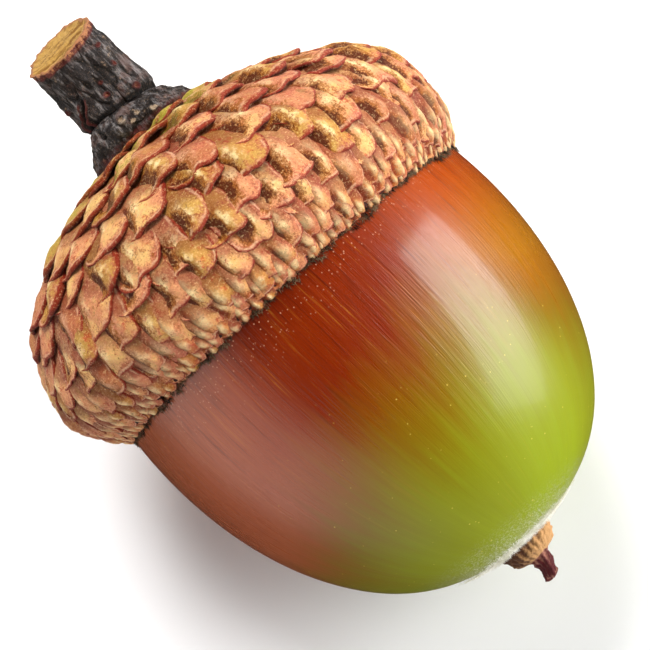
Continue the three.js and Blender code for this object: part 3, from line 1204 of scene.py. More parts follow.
    def roughen(self, tree: GeometryTree, coat: Value) -> Value:
        """Subdivides the coat and shakes it by coarse and fine noise.

        Args:
            tree: the coat's tree.
            coat: the coat.

        Returns:
            The uneven coat.
        """
        fine = tree.add("GeometryNodeSubdivisionSurface", inputs={"Mesh": coat, "Level": tree.input("Level")})
        moved = tree.place()
        for scale, share_of_grain in ((0.8, 1.0), (2.6, 0.6)):
            wave = tree.noise(tree.place(), scale, 2.0, 0.6).output("Color")
            wave = tree.vector_math("SUBTRACT", wave, (0.5, 0.5, 0.5))
            moved = tree.vector_math("ADD", moved, tree.scaled(wave, tree.input("Grain") * share_of_grain))
        return tree.move(fine, moved)

    def tree(self) -> GeometryTree:
        """Shields laid over the cup's outline, one at each point, which says its place and width.

        The outermost ring of each shield's grid becomes the skirt that drops from its edge.

        Returns:
            The tree.
        """
        kinds = {"Outline": "Object", "Level": "Int", "Seed": "Int", "Grain": "Float"}
        shares = ("Half Width", "Front", "Back", "Tilt", "Sunk", "Skirt")
        tree = GeometryTree("scale_coat", {**kinds, **dict.fromkeys(shares, "Float")})
        coat = self.flat_shields(tree)

        # Where a point is on its shield: u from side to side and v from root to tip, both -1 to 1.
        x, y = tree.place().axis("X"), tree.place().axis("Y")
        chance = tree.named("chance", "FLOAT_VECTOR")
        point, lean, bulge = (chance.axis(a) for a in "XYZ")
        width, along, turn = (tree.named(n) for n in ("width", "along", "turn"))
        inner_x, inner_y = 1 - 2 / self.columns, 1 - 2 / self.rows
        u = tree.lowest(tree.highest(x / inner_x, -1.0), 1.0)
        v = tree.lowest((y + 1) / (1 + inner_y) * 2 - 1, 1.0)
        side = tree.math("ABSOLUTE", x)
        skirt = tree.math("GREATER_THAN", tree.highest(side, y), max(inner_x, inner_y) + 0.01)

        # The shield's outline: round sides, and a tip that is blunt or pointed.
        forward = tree.highest(v, 0.0)
        across = u * tree.math("SQRT", 1 - 0.42 * forward * forward)
        beside = tree.math("ABSOLUTE", across)
        narrow = 1 - beside
        tip = forward * tree.math("SQRT", 1 - 0.42 * u * u) * (1 + (0.1 + 0.45 * point) * narrow * beside * 2)
        crumpled = tree.vector(u * 1.1 + 40 * point, v * 0.8 + 40 * lean, 40 * bulge)
        ragged = tree.noise(crumpled, 1.0, 2.0, 0.6).output("Color")
        lift, pull, push = (ragged.axis(a) - 0.5 for a in "XYZ")
        down = tree.lowest(v, 0.0)
        near_rim = tree.step(along / self.outline.length, 0.72, 0.95)
        tuck = 1 - 0.05 * skirt
        reach = width * (tip * tree.input("Front") * tuck + down * tree.input("Back") + 0.35 * pull * forward)
        reach = reach * (1 + 0.18 * near_rim)
        breadth = width * tree.input("Half Width") * tuck
        aside = breadth * (across + (lean - 0.5) * 0.35 * tip + 0.5 * push)

        # Its relief: a swelling, a hollow beside it, and an edge that flares.
        bump_x, bump_y = (lean - 0.5) * 0.7 - 0.15, 0.35 * bulge - 0.05
        swell = tree.bell((across - bump_x) / (0.32 + 0.2 * point)) * tree.bell((v - bump_y) / 0.6)
        pit_x = bump_x + 0.5
        hollow = tree.bell((across - pit_x) / 0.36) * tree.bell((v - bump_y - 0.1) / 0.6)
        edge = tree.highest(tree.math("ABSOLUTE", u), v)
        flare = tree.step(edge, 0.75, 1.0)
        tilt = tree.input("Tilt") * (v + 0.6) - 0.06 * beside * beside
        plump = (0.06 + 0.1 * bulge + 0.12 * near_rim) * swell
        relief = tilt + plump - 0.11 * hollow + 0.03 * flare + 0.24 * lift
        height = width * (relief - tree.input("Sunk") - tree.input("Skirt") * skirt)

        share = along / self.outline.length
        # Painted shadow: where the scales in front lie over this one, kept for the material; the shape
        # doesn't change.
        covered = tree.step(v - 0.6 * beside, 0.1, -0.4) * (1 - skirt)
        marks = {
            "edge": edge + 0.25 * skirt,
            "swell": swell,
            "hollow": hollow,
            "share": share,
            "covered": covered,
        }
        for name, value in marks.items():
            coat = tree.store(coat, name, value)
        coat = tree.move(coat, self.onto_cup(tree, along + reach, turn, aside, height))
        tree.finish(self.roughen(tree, self.shift(tree, coat)))
        return tree

    def build(self) -> list[bpy.types.Object]:
        """Makes the coat.

        Returns:
            The finished pieces, one for each belt.
        """
        material = ScaleFinish().material()
        tree = self.tree()
        guide = self.outline.guide(self.overhang)
        spiral = self.spiral()
        share = spiral["along"] / self.outline.length
        pieces, start = [], 0.0
        for belt in Belt:
            chosen = (share >= start) & (share < belt.end)
            start = belt.end
            base = bpy.data.meshes.new("scale_places")
            base.from_pydata(np.zeros((chosen.sum(), 3)), [], [])
            for name, numbers in spiral.items():
                base.attributes.new(name, "FLOAT", "POINT").data.foreach_set("value", numbers[chosen])
            values = {
                "Outline": guide,
                "Level": belt.level,
                "Seed": SEED + belt.level + len(pieces),
                "Grain": self.grain,
                "Half Width": self.half_width,
                "Front": self.front,
                "Back": self.back,
                "Tilt": self.tilt,
                "Sunk": self.sunk,
                "Skirt": self.skirt,
                "Material": material,
            }
            mesh = tree.grown("scales_" + belt.name.lower(), base, values)
            LOG.info("%s: %d scales", belt.name.lower(), chosen.sum())
            pieces.append(self.frame.lay(mesh, material, "cup", "cup_scales"))
        bpy.data.objects.remove(guide)
        return pieces


@dataclass
class CupWall:
    """The cup's woody wall, which shows only in the creases between the scales and at the rim.

    Attributes:
        gap: between the wall and the nut, in millimetres.
        turns: faces round the axis.
        outer_steps: rings along the outside.
        inner_steps: rings along the inside.
        finish: the wall's dry wood.
    """

    frame: AcornFrame
    coat: ScaleCoat
    gap: float = 0.03
    turns: int = 240
    outer_steps: int = 120
    inner_steps: int = 50
    finish: DryFinish = DryFinish("cup_wall", light=srgb(128, 70, 44), dark=srgb(54, 26, 18))

    def build(self) -> bpy.types.Object:
        """Makes the wall.

        Returns:
            The finished piece.
        """
        outline = self.coat.outline
        along = np.linspace(0.15, outline.length, self.outer_steps)
        places = [np.interp(along, outline.lengths, outline.points[:, axis]) for axis in (0, 1)]
        slope = np.gradient(np.stack(places, -1), along, axis=0)
        sunk = np.array([0.1 + 0.17 * self.coat.width_at(a) for a in along])
        sunk *= 1 - 0.75 * smooth_step(along, outline.length - 0.6, outline.length)
        outer = [places[0] - slope[:, 1] * sunk, places[1] + slope[:, 0] * sunk]
        depth = self.frame.nut.base_length - self.frame.nut.waist
        inner_height = -depth * np.sin(np.linspace(0.01, math.pi / 2, self.inner_steps))[:-1]
        inner_radius = self.frame.nut.radius_at(inner_height) + self.gap
        radius = np.concatenate([outer[0], inner_radius])
        height = np.concatenate([outer[1], inner_height])
        body = Turned(radius, height, self.turns)
        points, _ = body.rings()
        points = outline.shift(points)
        # Painted shade: shade 1 all over gives the wall mostly its dark tone, which stands for the shade in
        # the creases it shows in.
        mesh = body.mesh("cup_wall", points, {"shade": np.ones(points.shape[:2])})
        faces_out(mesh)
        return self.frame.lay(mesh, self.finish.material(), "cup", "cup_scales")


@dataclass
class TipCollar:
    """The squat, ribbed remains of the flower on the nut's tip, in millimetres.

    Attributes:
        radius: of its widest ring.
        height: how far it stands out of the nut.
        sunk: how deep it is set in the nut.
        squareness: its side view, round at 1 and squarer below it.
        ribs: how many there are.
        rib_depth: how far a rib stands out.
        turns: faces round the axis.
        steps: rings from foot to top.
        finish: its dry skin.
        offset: how far it stands off the nut's axis.
    """

    frame: AcornFrame
    radius: float = 1.53
    height: float = 1.1
    sunk: float = 0.58
    squareness: float = 0.6
    ribs: int = 24
    rib_depth: float = 0.035
    turns: int = 300
    steps: int = 70
    finish: DryFinish = DryFinish("flower_collar", light=srgb(196, 148, 94), dark=srgb(86, 48, 24))

    offset = 0.73

    def build(self) -> bpy.types.Object:
        """Makes the collar.

        Returns:
            The finished piece.
        """
        lowest = -math.radians(30)
        angle = np.linspace(lowest, math.radians(88), self.steps)
        side = (self.height + self.sunk) / (1 - math.sin(lowest))
        foot = self.frame.nut.tip - self.sunk
        height = foot + side * (np.sin(angle) - math.sin(lowest))
        body = Turned(self.radius * np.cos(angle) ** self.squareness, height, self.turns)
        points, turn = body.rings()
        rising = (height[:, None] - foot) / (self.height + self.sunk)
        drift = 0.25 * noise_at(points, 1.1)
        ribs = np.cos(self.ribs * turn + 6 * drift) * smooth_step(points[..., 1], foot, foot + 0.5)
        folds = np.cos(26 * rising + 9 * drift)
        grain = 0.14 * noise_at(points, 0.9) + 0.09 * noise_at(points, 4.0) + 0.012 * folds
        lift = 1 + (self.rib_depth * ribs * (0.6 + 1.5 * np.abs(drift)) + grain) / self.radius
        points[..., 0] = points[..., 0] * lift + self.offset
        points[..., 2] *= lift
        # Painted shade: darker on one side and in the grooves between the ribs; darker towards the foot as
        # well.
        shade = np.clip(1.2 - 1.1 * rising + 0.55 * np.sin(turn) - 0.2 * ribs, 0, 1)
        mesh = body.mesh("flower_collar", points, {"shade": shade})
        faces_out(mesh)
        return self.frame.lay(mesh, self.finish.material(), "tip_collar", "tip_collar")


@dataclass
class TipStyle:
    """The dried style in the collar, a bent stump with a lobed end, in millimetres.

    Attributes:
        radius: about its middle.
        length: from its foot to its end.
        lobes: how many its end has.
        lobe_depth: how far a lobe stands out, as a share of the radius.
        bend: how far its end leans over.
        standing: height of its foot above the nut's tip.
        ribs: fine ribs along it.
        turns: faces round the axis.
        steps: rings from foot to end.
        finish: its dry skin.
    """

    frame: AcornFrame
    radius: float = 0.57
    length: float = 1.25
    lobes: int = 3
    lobe_depth: float = 0.2
    bend: float = 0.28
    standing: float = 0.9
    ribs: int = 11
    turns: int = 120
    steps: int = 70
    finish: DryFinish = DryFinish("flower_style", light=srgb(176, 120, 100), dark=srgb(84, 18, 24))

    def build(self) -> bpy.types.Object:
        """Makes the style.

        Returns:
            The finished piece.
        """
        foot = self.frame.nut.tip + self.standing
        share = np.linspace(0, 1, self.steps)
        waist = 1.25 - 0.3 * np.sin(0.9 * math.pi * share) - 0.42 * share
        over_end = np.linspace(0.1, 1.5, 16)
        rim, end = np.cos(over_end), np.sin(over_end)
        radius = np.concatenate([self.radius * waist, self.radius * waist[-1] * rim])
        height = np.concatenate([foot + self.length * share, foot + self.length + 0.16 * end])
        body = Turned(radius, height, self.turns)
        points, turn = body.rings()
        rising = (points[..., 1] - foot) / self.length
        lobe = 1 + self.lobe_depth * rising * np.cos(self.lobes * turn + 0.6)
        ribbed = np.cos(self.ribs * turn + 2 * rising)
        lobe += 0.05 * ribbed + 0.34 * noise_at(points, 2.0)
        points[..., 0] = points[..., 0] * lobe + TipCollar.offset + self.bend * rising**2
        points[..., 2] *= lobe
        points[..., 1] += 0.1 * np.clip(rising, 0, 1) ** 3 * np.cos(self.lobes * turn + 0.6) * (lobe > 0.5)
        shade = 0.25 + 1.4 * rising + 0.3 * ribbed - 1.1 * smooth_step(rising, 0.8, 1.1)
        mesh = body.mesh("flower_style", points, {"shade": np.clip(shade, 0, 1)})
        faces_out(mesh)
        return self.frame.lay(mesh, self.finish.material(), "tip_style", "tip_style")


@dataclass(frozen=True)
class Knot:
    """A raised ring with a pit in it, where the bark breathes or something has broken off."""

    turn: float
    height: float
    size: float

    def ring(self, turn: np.ndarray, height: np.ndarray, radius: float) -> tuple[np.ndarray, np.ndarray]:
        """The knot's relief and colour on round bark.

        Args:
            turn: the turns of the bark's points.
            height: their heights.
            radius: the bark's radius.

        Returns:
            How far the knot stands out at each point, and how much of its colour is there.
        """
        aside = np.angle(np.exp(1j * (turn - self.turn))) * radius
        apart = np.hypot(aside, height - self.height) / self.size
        out = 0.55 * self.size * (bell((apart - 0.75) / 0.35) - 0.5 * bell(apart / 0.4))
        return out, bell(apart / 1.1)


@dataclass(frozen=True)
class Lump:
    """A smooth swelling of the bark, broader round the stalk than it is tall."""

    turn: float
    height: float
    size: float
    rise: float

    def swelling(self, turn: np.ndarray, height: np.ndarray, radius: float) -> np.ndarray:
        """The lump's relief on round bark.

        Args:
            turn: the turns of the bark's points.
            height: their heights.
            radius: the bark's radius.

        Returns:
            How far the lump stands out at each point.
        """
        aside = np.angle(np.exp(1j * (turn - self.turn))) * radius
        return self.rise * bell(aside / self.size) * bell((height - self.height) / (0.8 * self.size))


@dataclass
class Stalk:
    """The gnarled knuckle between the cup and the twig, in millimetres.

    Attributes:
        radius: of the knuckle.
        foot: height of the end that is sunk in the cup.
        top: height of the end at the twig.
        offset: how far it stands off the nut's axis.
        tilt: slope of the joint with the twig.
        turns: faces round the axis.
        steps: rings from end to end.
        cap_steps: rings of each end's cap.
        lumps: its swellings.
        knots: its knots.
    """

    frame: AcornFrame
    radius: float = 2.5
    foot: float = -9.9
    top: float = -12.6
    offset: float = 0.8
    tilt: float = 0.18
    turns: int = 280
    steps: int = 150
    cap_steps: int = 11

    lumps = (
        Lump(1.75, -10.9, 1.0, 0.72),
        Lump(-1.5, -10.9, 1.0, 0.55),
        Lump(0.3, -11.7, 0.6, 0.3),
        Lump(-0.5, -10.8, 0.8, 0.3),
        Lump(3.0, -11.2, 1.0, 0.35),
    )
    knots = (
        Knot(0.16, -11.85, 0.24),
        Knot(0.02, -11.45, 0.14),
        Knot(-0.14, -11.7, 0.17),
        Knot(-0.38, -11.3, 0.2),
        Knot(2.4, -11.5, 0.3),
    )

    def build(self) -> bpy.types.Object:
        """Makes the knuckle.

        Returns:
            The finished piece.
        """
        share = np.linspace(0, 1, self.steps)
        height = self.top + (self.foot - self.top) * share
        radius = self.radius * (0.86 + 0.16 * np.sin(math.pi * share) + 0.1 * share)
        radius *= smooth_step(share, -0.05, 0.1) * 0.25 + 0.75
        cap = np.linspace(0.03, 1, self.cap_steps + 1)[:-1]
        radius = np.concatenate([radius[0] * cap, radius, radius[-1] * cap[::-1]])
        height = np.concatenate([np.full(len(cap), self.top), height, np.full(len(cap), self.foot)])
        body = Turned(radius, height, self.turns)
        points, turn = body.rings()
        out = np.zeros(points.shape[:2])
        fleck = np.zeros(points.shape[:2])
        for lump in self.lumps:
            out += lump.swelling(turn, points[..., 1], self.radius)
        for knot in self.knots:
            ring, colour = knot.ring(turn, points[..., 1], self.radius)
            out += ring
            fleck = np.maximum(fleck, colour)
        crack = cracks_at(points * (1.0, 0.5, 1.0), 1.0)
        out += 0.18 * noise_at(points, 0.7) + 0.12 * noise_at(points, 2.2) - 0.16 * crack * (1 - fleck)
        scale = 1 + out / self.radius
        rising = (points[..., 1] - self.top) / (self.foot - self.top)
        points[..., 0] *= scale
        points[..., 1] -= self.tilt * points[..., 0] * (1 - rising)
        points[..., 0] -= self.offset
        points[..., 2] *= scale * 0.95
        none = np.zeros_like(out)
        frayed = smooth_step(rising, 0.4, 0.62)
        # depth paints shade into the cracks.
        marks = {"depth": crack * 0.75, "wood": none, "rind": 0.5 * frayed, "pith": fleck}
        mesh = body.mesh("stalk_knuckle", points, marks)
        faces_out(mesh)
        return self.frame.lay(mesh, BarkFinish().material("stalk_bark"), "stalk", "stalk_bark")


@dataclass
class Twig:
    """The cut stub of the twig: ridged bark, and wood with a dark pith on its slanted end.

    Attributes:
        radius: at the cut end, in millimetres.
        length: from the joint to the cut.
        flare: how much wider it is at the joint.
        foot: height of the joint.
        offset: how far it stands off the nut's axis.
        tilt: slope of the joint with the knuckle.
        rise: the angle at which it leaves the nut's axis.
        cut: the slant of its cut end.
        turns: faces round the axis.
        steps: rings along it.
        cap_steps: rings of the cut end.
        foot_steps: rings of the end in the joint.
        knots: its knots.
    """

    frame: AcornFrame
    radius: float = 2.02
    length: float = 4.45
    flare: float = 0.24
    foot: float = -12.5
    offset: float = 0.8
    tilt: float = 0.18
    rise: float = math.radians(10)
    cut: float = math.radians(25)
    turns: int = 300
    steps: int = 170
    cap_steps: int = 50
    foot_steps: int = 8

    knots = (
        Knot(-0.1, -14.4, 0.15),
        Knot(0.02, -13.6, 0.2),
        Knot(-0.62, -12.95, 0.26),
        Knot(-0.75, -16.0, 0.18),
        Knot(-0.68, -14.7, 0.22),
        Knot(1.3, -14.3, 0.22),
        Knot(2.6, -15.2, 0.2),
        Knot(-2.3, -13.8, 0.24),
    )

    def gash(self, turn: np.ndarray, height: np.ndarray) -> tuple[np.ndarray, np.ndarray]:
        """A long wound with a raised rim, which runs up from the joint.

        Args:
            turn: the turns of the bark's points.
            height: their heights.

        Returns:
            How far the wound stands out at each point, and how much of its rim is there.
        """
        path = 1.05 - 0.42 * smooth_step(self.foot - height, 0.3, 1.9)
        aside = np.angle(np.exp(1j * (turn - path))) * self.radius
        along = smooth_step(height, self.foot - 2.1, self.foot - 1.6)
        groove, rim = bell(aside / 0.13) * along, bell((np.abs(aside) - 0.28) / 0.12) * along
        return 0.14 * rim - 0.32 * groove, rim

    def build(self) -> bpy.types.Object:
        """Makes the twig.

        Returns:
            The finished piece.
        """
        end = self.foot - self.length
        share = np.linspace(0, 1, self.steps)
        cap = np.linspace(0.02, 0.985, self.cap_steps)
        side = self.radius + self.flare * share**3
        foot_cap = np.linspace(0.95, 0.05, self.foot_steps)
        radius = np.concatenate([self.radius * cap, side, side[-1] * foot_cap])
        rising = end + self.length * share
        height = np.concatenate([np.full(self.cap_steps, end), rising, np.full(self.foot_steps, self.foot)])
        body = Turned(radius, height, self.turns)
        points, turn = body.rings()
        level = points[..., 1].copy()
        inward = np.clip(radius / self.radius, 0, 1)[:, None] + 0 * turn
        on_cap = (np.arange(len(radius)) < self.cap_steps)[:, None] + 0 * turn

        # The bark's relief: ridges, cracks, the pinched joint, the wound and the knots.
        around = np.stack([2.0 * np.sin(turn), level * 0.3, 2.0 * np.cos(turn)], -1)
        crack = cracks_at(around, 1.0) * (1 - on_cap)
        ridge = 0.5 * np.cos(9 * turn - 0.35 * level + 3 * noise_at(around, 0.4))
        joint = bell((level - self.foot) / 0.3)
        wound, wound_rim = self.gash(turn, level)
        out = 0.09 * ridge + 0.16 * noise_at(around, 0.9) + 0.1 * noise_at(around, 3.0)
        out += -0.17 * crack - 0.25 * joint
        knotted = np.zeros_like(out)
        for knot in self.knots:
            ring, colour = knot.ring(turn, level, self.radius)
            out += ring * (1 - on_cap)
            knotted = np.maximum(knotted, colour * (1 - on_cap))
        out += wound * (1 - on_cap)
        scale = 1 + out / self.radius

        # The slanted cut with its fibres and pith, and the twig's tilt and rise.
        away = (self.foot - level) / self.length
        points[..., 0] *= scale
        points[..., 2] *= scale
        fibre = noise_at(points * (1.6, 1.0, 0.7), 2.2)
        pith = bell((points[..., 0] - 0.5) / 0.9) * bell((points[..., 2] - 0.5) / 0.3) * on_cap
        points[..., 1] -= self.tilt * points[..., 0] * (1 - away) ** 2
        points[..., 1] += np.tan(self.cut) * points[..., 2] * away
        points[..., 1] += on_cap * (0.06 * fibre + 0.4 * pith - 0.12 * smooth_step(inward, 0.78, 0.93))
        points[..., 0] -= self.offset
        points[..., 2] += np.tan(self.rise) * away * self.length

        by_cut, by_rind = smooth_step(away, 0.9, 0.97), smooth_step(inward, 0.84, 0.93)
        edge = np.maximum(by_cut * (1 - on_cap), on_cap * by_rind)
        rind = np.maximum(edge, np.maximum(0.9 * knotted, 0.7 * wound_rim * (1 - on_cap)))
        # depth: painted shade in the cracks, the pinched joint and the wound's groove.
        depth = crack * 0.75 * (1 - knotted) + joint + np.clip(-3 * wound, 0, 1) * (1 - on_cap)
        mesh = body.mesh("twig_stub", points, {"depth": depth, "wood": on_cap, "rind": rind, "pith": pith})
        faces_out(mesh)
        return self.frame.lay(mesh, BarkFinish().material("twig_bark"), "twig", "twig_bark")


@dataclass
class Hairs:
    """Short straight hairs, one at each of a set of points.

    Attributes:
        thickness: radius of a hair at its root, in millimetres.
    """

    thickness: float

    def tree(self) -> GeometryTree:
        """A tapered hair at each point, along its aim and as long as its reach.

        Returns:
            The tree.
        """
        tree = GeometryTree("hairs", {"Thickness": "Float"})
        cone_inputs = {
            "Vertices": 4,
            "Side Segments": 1,
            "Radius Top": 0.2,
            "Radius Bottom": 1.0,
            "Depth": 1.0,
        }
        cone = tree.add("GeometryNodeMeshCone", inputs=cone_inputs)
        aim = tree.named("aim", "FLOAT_VECTOR")
        rotation = tree.add("FunctionNodeAlignRotationToVector", {"axis": "Z"}, {"Vector": aim})
        size = tree.vector(tree.input("Thickness"), tree.input("Thickness"), tree.named("reach"))
        inputs = {"Points": tree.input("Geometry"), "Instance": cone, "Rotation": rotation, "Scale": size}
        tree.finish(tree.add("GeometryNodeInstanceOnPoints", inputs=inputs))
        return tree

    def grow(
        self, name: str, points: np.ndarray, aims: np.ndarray, reach: np.ndarray, material: bpy.types.Material
    ) -> bpy.types.Mesh:
        """Grows the hairs.

        Args:
            name: the name of the mesh.
            points: where each stands.
            aims: which way it points.
            reach: its length.
            material: its finish.

        Returns:
            The hairs as one mesh in the acorn's own frame.
        """
        base = bpy.data.meshes.new(name + "_roots")
        base.from_pydata(points, [], [])
        base.attributes.new("aim", "FLOAT_VECTOR", "POINT").data.foreach_set("vector", aims.ravel())
        base.attributes.new("reach", "FLOAT", "POINT").data.foreach_set("value", reach)
        return self.tree().grown(name, base, {"Thickness": self.thickness, "Material": material})


@dataclass
class RimFelt:
    """The dark felt between the cup's rim and the nut.

    Attributes:
        count: how many hairs it has.
        thickness: radius of a hair at its root, in millimetres.
        finish: the hairs' two tones.
    """

    frame: AcornFrame
    outline: CupOutline
    count: int = 6000
    thickness: float = 0.02
    finish: HairFinish = HairFinish("rim_felt", light=srgb(110, 90, 66), dark=srgb(22, 15, 10))

    def build(self) -> bpy.types.Object:
        """Makes the felt.

        Returns:
            The finished piece.
        """
        rng = np.random.default_rng(SEED)
        turn = rng.uniform(0, FULL_TURN, self.count)
        thick = 0.25 + 0.75 * noise_at(np.stack([10 * np.sin(turn), 0 * turn, 10 * np.cos(turn)], -1), 0.6)
        above_rim = rng.uniform(-0.4, 1.0, self.count) * np.clip(thick, 0.1, 0.45)
        height = self.outline.rim_height(turn) + above_rim
        radius = self.frame.nut.radius_at(np.maximum(height, -2)) + rng.uniform(0, 0.1, self.count)
        outward = np.stack([np.sin(turn), 0 * turn, np.cos(turn)], -1)
        sideways = np.stack([np.cos(turn), 0 * turn, -np.sin(turn)], -1)
        spread = rng.normal(0, 1.0, (self.count, 1))
        aims = (0, 1, 0) + outward * rng.uniform(0, 0.4, (self.count, 1)) + sideways * spread
        points = outward * radius[:, None] + height[:, None] * np.array((0, 1, 0))
        material = self.finish.material()
        reach = rng.uniform(0.1, 0.34, self.count)
        mesh = Hairs(self.thickness).grow("rim_felt", points, aims, reach, material)
        return self.frame.lay(mesh, material, "cup", "cup_scales")


@dataclass
class TipDown:
    """The white down on the nut, round the collar.

    Attributes:
        count: how many hairs it has.
        nearest: distance of the innermost hairs from the collar's axis, in millimetres.
        farthest: distance of the outermost ones.
        thickness: radius of a hair at its root.
        finish: the hairs' two tones.
    """

    frame: AcornFrame
    count: int = 12000
    nearest: float = 1.25
    farthest: float = 4.2
    thickness: float = 0.012
    finish: HairFinish = HairFinish("tip_down", light=srgb(246, 244, 236), dark=srgb(208, 204, 182))

    def build(self) -> bpy.types.Object:
        """Makes the down.

        Returns:
            The finished piece.
        """
        rng = np.random.default_rng(SEED + 1)
        shape = self.frame.nut
        turn = rng.uniform(0, FULL_TURN, self.count)
        out = self.nearest + (self.farthest - self.nearest) * rng.beta(1.0, 2.2, self.count)
        x, z = out * np.sin(turn) + TipCollar.offset, out * np.cos(turn)
        radius = np.hypot(x, z)
        level = np.linspace(shape.waist, shape.tip, 2000)
        outline_radius = shape.radius_at(level)
        height = np.interp(-radius, -outline_radius, level)
        steepness = np.interp(radius, outline_radius[::-1], -np.gradient(level, outline_radius)[::-1])
        normal = np.stack([x / radius * steepness, np.ones_like(x), z / radius * steepness], -1)
        normal /= np.linalg.norm(normal, axis=1)[:, None]
        aims = normal + rng.normal(0, 0.75, (self.count, 3))
        material = self.finish.material()
        thinning = (1.25 - 1.2 * out / self.farthest).clip(0, 1)
        reach = 0.03 + rng.uniform(0.1, 0.34, self.count) * thinning
        points = np.stack([x, height - 0.01, z], -1)
        mesh = Hairs(self.thickness).grow("tip_down", points, aims, reach, material)
        return self.frame.lay(mesh, material, "nut", "nut_skin")


# ---------------------------------------------------------------- the studio


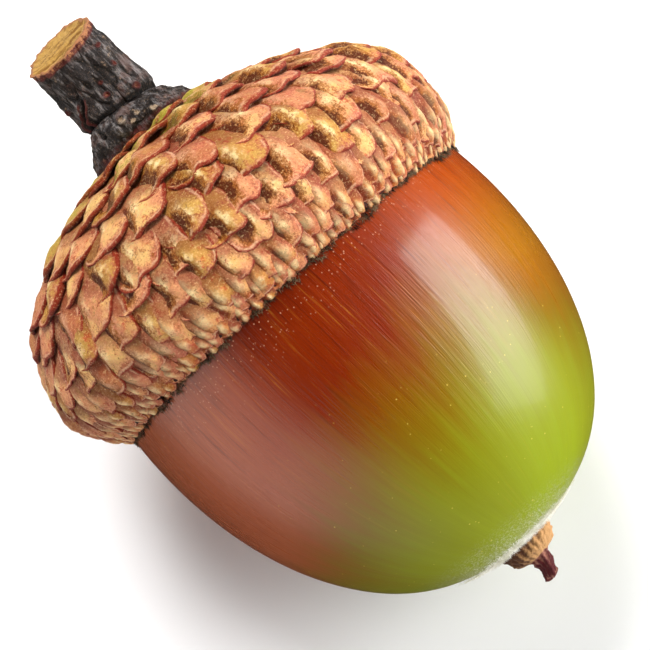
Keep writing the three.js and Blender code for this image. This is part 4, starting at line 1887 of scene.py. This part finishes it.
@dataclass
class Studio:
    """A pale floor, soft lights and the camera, placed from the acorn's frame.

    Attributes:
        lens: focal length, in millimetres.
        sensor: width of the sensor, in millimetres.
        view_width: what the picture spans at the acorn, in millimetres.
        elevation: how far above the floor the camera looks from.
        roll: how far the camera is turned about its line of sight.
        aim_right: how far right of the frame's origin it aims, in millimetres.
        aim_down: how far below the origin it aims, in millimetres.
        walls: strength of the room's walls.
        glow: strength of the soft glow across from the long light.
        ceiling: strength of the light from straight above and below.
        backdrop: strength of what the camera sees behind the acorn.
        floor_half: half the floor's side, in metres.
        floor_dark: the darker tone of the floor.
        floor_light: its lighter tone.
    """

    frame: AcornFrame
    lens: float = 150.0
    sensor: float = 36.0
    view_width: float = 32.72
    elevation: float = math.radians(76.7)
    roll: float = math.radians(44)
    aim_right: float = 1.706
    aim_down: float = 1.566
    walls: float = 0.16
    glow: float = 1.05
    ceiling: float = 0.02
    backdrop: float = 0.8
    floor_half: float = 1.5
    floor_dark: Colour = srgb(246, 246, 246)
    floor_light: Colour = srgb(250, 250, 250)

    def __post_init__(self) -> None:
        """Works out the directions of the view."""
        self.towards = Vector((math.cos(self.elevation), 0, math.sin(self.elevation)))
        level = self.frame.along - self.towards * self.frame.along.dot(self.towards)
        self.tipward = level.normalized()
        self.across = self.towards.cross(self.tipward)
        cosine, sine = math.cos(self.roll), math.sin(self.roll)
        self.right = cosine * self.tipward + sine * self.across
        self.upward = -sine * self.tipward + cosine * self.across

    def camera(self) -> None:
        """Places the camera."""
        data = bpy.data.cameras.new("camera")
        data.lens, data.sensor_width = self.lens, self.sensor
        data.clip_start, data.clip_end = 0.005, 10.0
        distance = self.view_width * MM * self.lens / self.sensor
        target = self.frame.origin + (self.aim_right * self.right - self.aim_down * self.upward) * MM
        camera = bpy.data.objects.new("camera", data)
        turn = Matrix((self.right, self.upward, self.towards)).transposed().to_4x4()
        camera.matrix_world = Matrix.Translation(target + self.towards * distance) @ turn
        bpy.context.scene.collection.objects.link(camera)
        bpy.context.scene.camera = camera

    def softbox(
        self,
        name: str,
        way: Vector,
        distance: float,
        size: tuple[float, float],
        power: float,
        mirrored: bool = True,
    ) -> None:
        """Hangs one soft light.

        Args:
            name: its name.
            way: from the acorn towards the light.
            distance: how far away it hangs, in metres.
            size: its length along the nut and its breadth, in metres.
            power: in watts.
            mirrored: whether glossy surfaces show it.
        """
        data = bpy.data.lights.new(name, "AREA")
        data.shape = "RECTANGLE"
        data.size, data.size_y = size
        data.energy = power
        light = bpy.data.objects.new(name, data)
        back = way.normalized()
        side = self.tipward - back * self.tipward.dot(back)
        side.normalize()
        turn = Matrix((side, back.cross(side), back)).transposed().to_4x4()
        light.matrix_world = Matrix.Translation(self.frame.origin + back * distance) @ turn
        light.visible_glossy = mirrored
        bpy.context.scene.collection.objects.link(light)

    def lights(self) -> None:
        """Hangs the long light that the nut mirrors, and two that it doesn't, above and behind the twig."""
        across, tipward, towards = self.across, self.tipward, self.towards
        beside = 0.9 * across + 0.42 * tipward + 0.32 * towards
        above = towards + 0.5 * across + 0.2 * tipward
        behind = 0.3 * across - 0.8 * tipward + 0.6 * towards
        self.softbox("key", beside, distance=0.4, size=(0.42, 0.27), power=2.5)
        self.softbox("top", above, distance=0.6, size=(0.35, 0.35), power=1.7, mirrored=False)
        self.softbox("back", behind, distance=0.5, size=(0.25, 0.25), power=3.3, mirrored=False)
        self.room()

    def room(self) -> None:
        """Makes the room: dim, with a soft glow across from the long light, and pale behind the acorn."""
        world = bpy.data.worlds.new("room")
        world.use_nodes = True
        maker = NodeMaker(world.node_tree)
        way = maker.add("ShaderNodeTexCoord", output="Generated")
        level = maker.step(way.axis("Z"), 0.82, 0.5) * maker.step(way.axis("Z"), -0.5, 0.0)
        sideways = maker.vector_math("DOT_PRODUCT", way, tuple(-self.across)).output("Value")
        seen = maker.add("ShaderNodeLightPath", output="Is Camera Ray")
        mirrored = seen.output("Is Glossy Ray")
        walls = self.walls * (1 - 0.7 * mirrored) + self.glow * maker.step(sideways, 0.2, 0.8)
        strength = (self.ceiling + level * walls) * (1 - seen) + self.backdrop * seen
        white = (1.0, 1.0, 1.0, 1.0)
        background = maker.add("ShaderNodeBackground", inputs={"Color": white, "Strength": strength})
        maker.add("ShaderNodeOutputWorld", inputs={"Surface": background})
        bpy.context.scene.world = world
        bpy.context.scene.view_settings.view_transform = "Standard"

    def floor(self) -> None:
        """Lays the floor."""
        half = self.floor_half
        corners = [(-half, -half, 0), (half, -half, 0), (half, half, 0), (-half, half, 0)]
        mesh = bpy.data.meshes.new("floor")
        mesh.from_pydata(corners, [], [(0, 1, 2, 3)])
        m = Material("floor", Roughness=0.9)
        grain = m.noise(m.add("ShaderNodeTexCoord", output="Object"), 9.0, 2.0)
        m.set("Base Color", m.mix(grain, self.floor_dark, self.floor_light))
        mesh.materials.append(m.material)
        floor = bpy.data.objects.new("floor", mesh)
        bpy.context.scene.collection.objects.link(floor)
        floor.visible_glossy = False

    def build(self) -> None:
        """Sets up the studio."""
        self.camera()
        self.lights()
        self.floor()


def main() -> None:
    """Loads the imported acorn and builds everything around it."""
    logging.basicConfig(level=logging.INFO, format="%(name)s: %(message)s")
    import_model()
    frame = AcornFrame()
    outline = CupOutline()
    Studio(frame).build()
    coat = ScaleCoat(frame, outline)
    Nut(frame).build()
    CupWall(frame, coat).build()
    coat.build()
    RimFelt(frame, outline).build()
    Stalk(frame).build()
    Twig(frame).build()
    TipCollar(frame).build()
    TipStyle(frame).build()
    TipDown(frame).build()


if __name__ == "__main__":
    main()
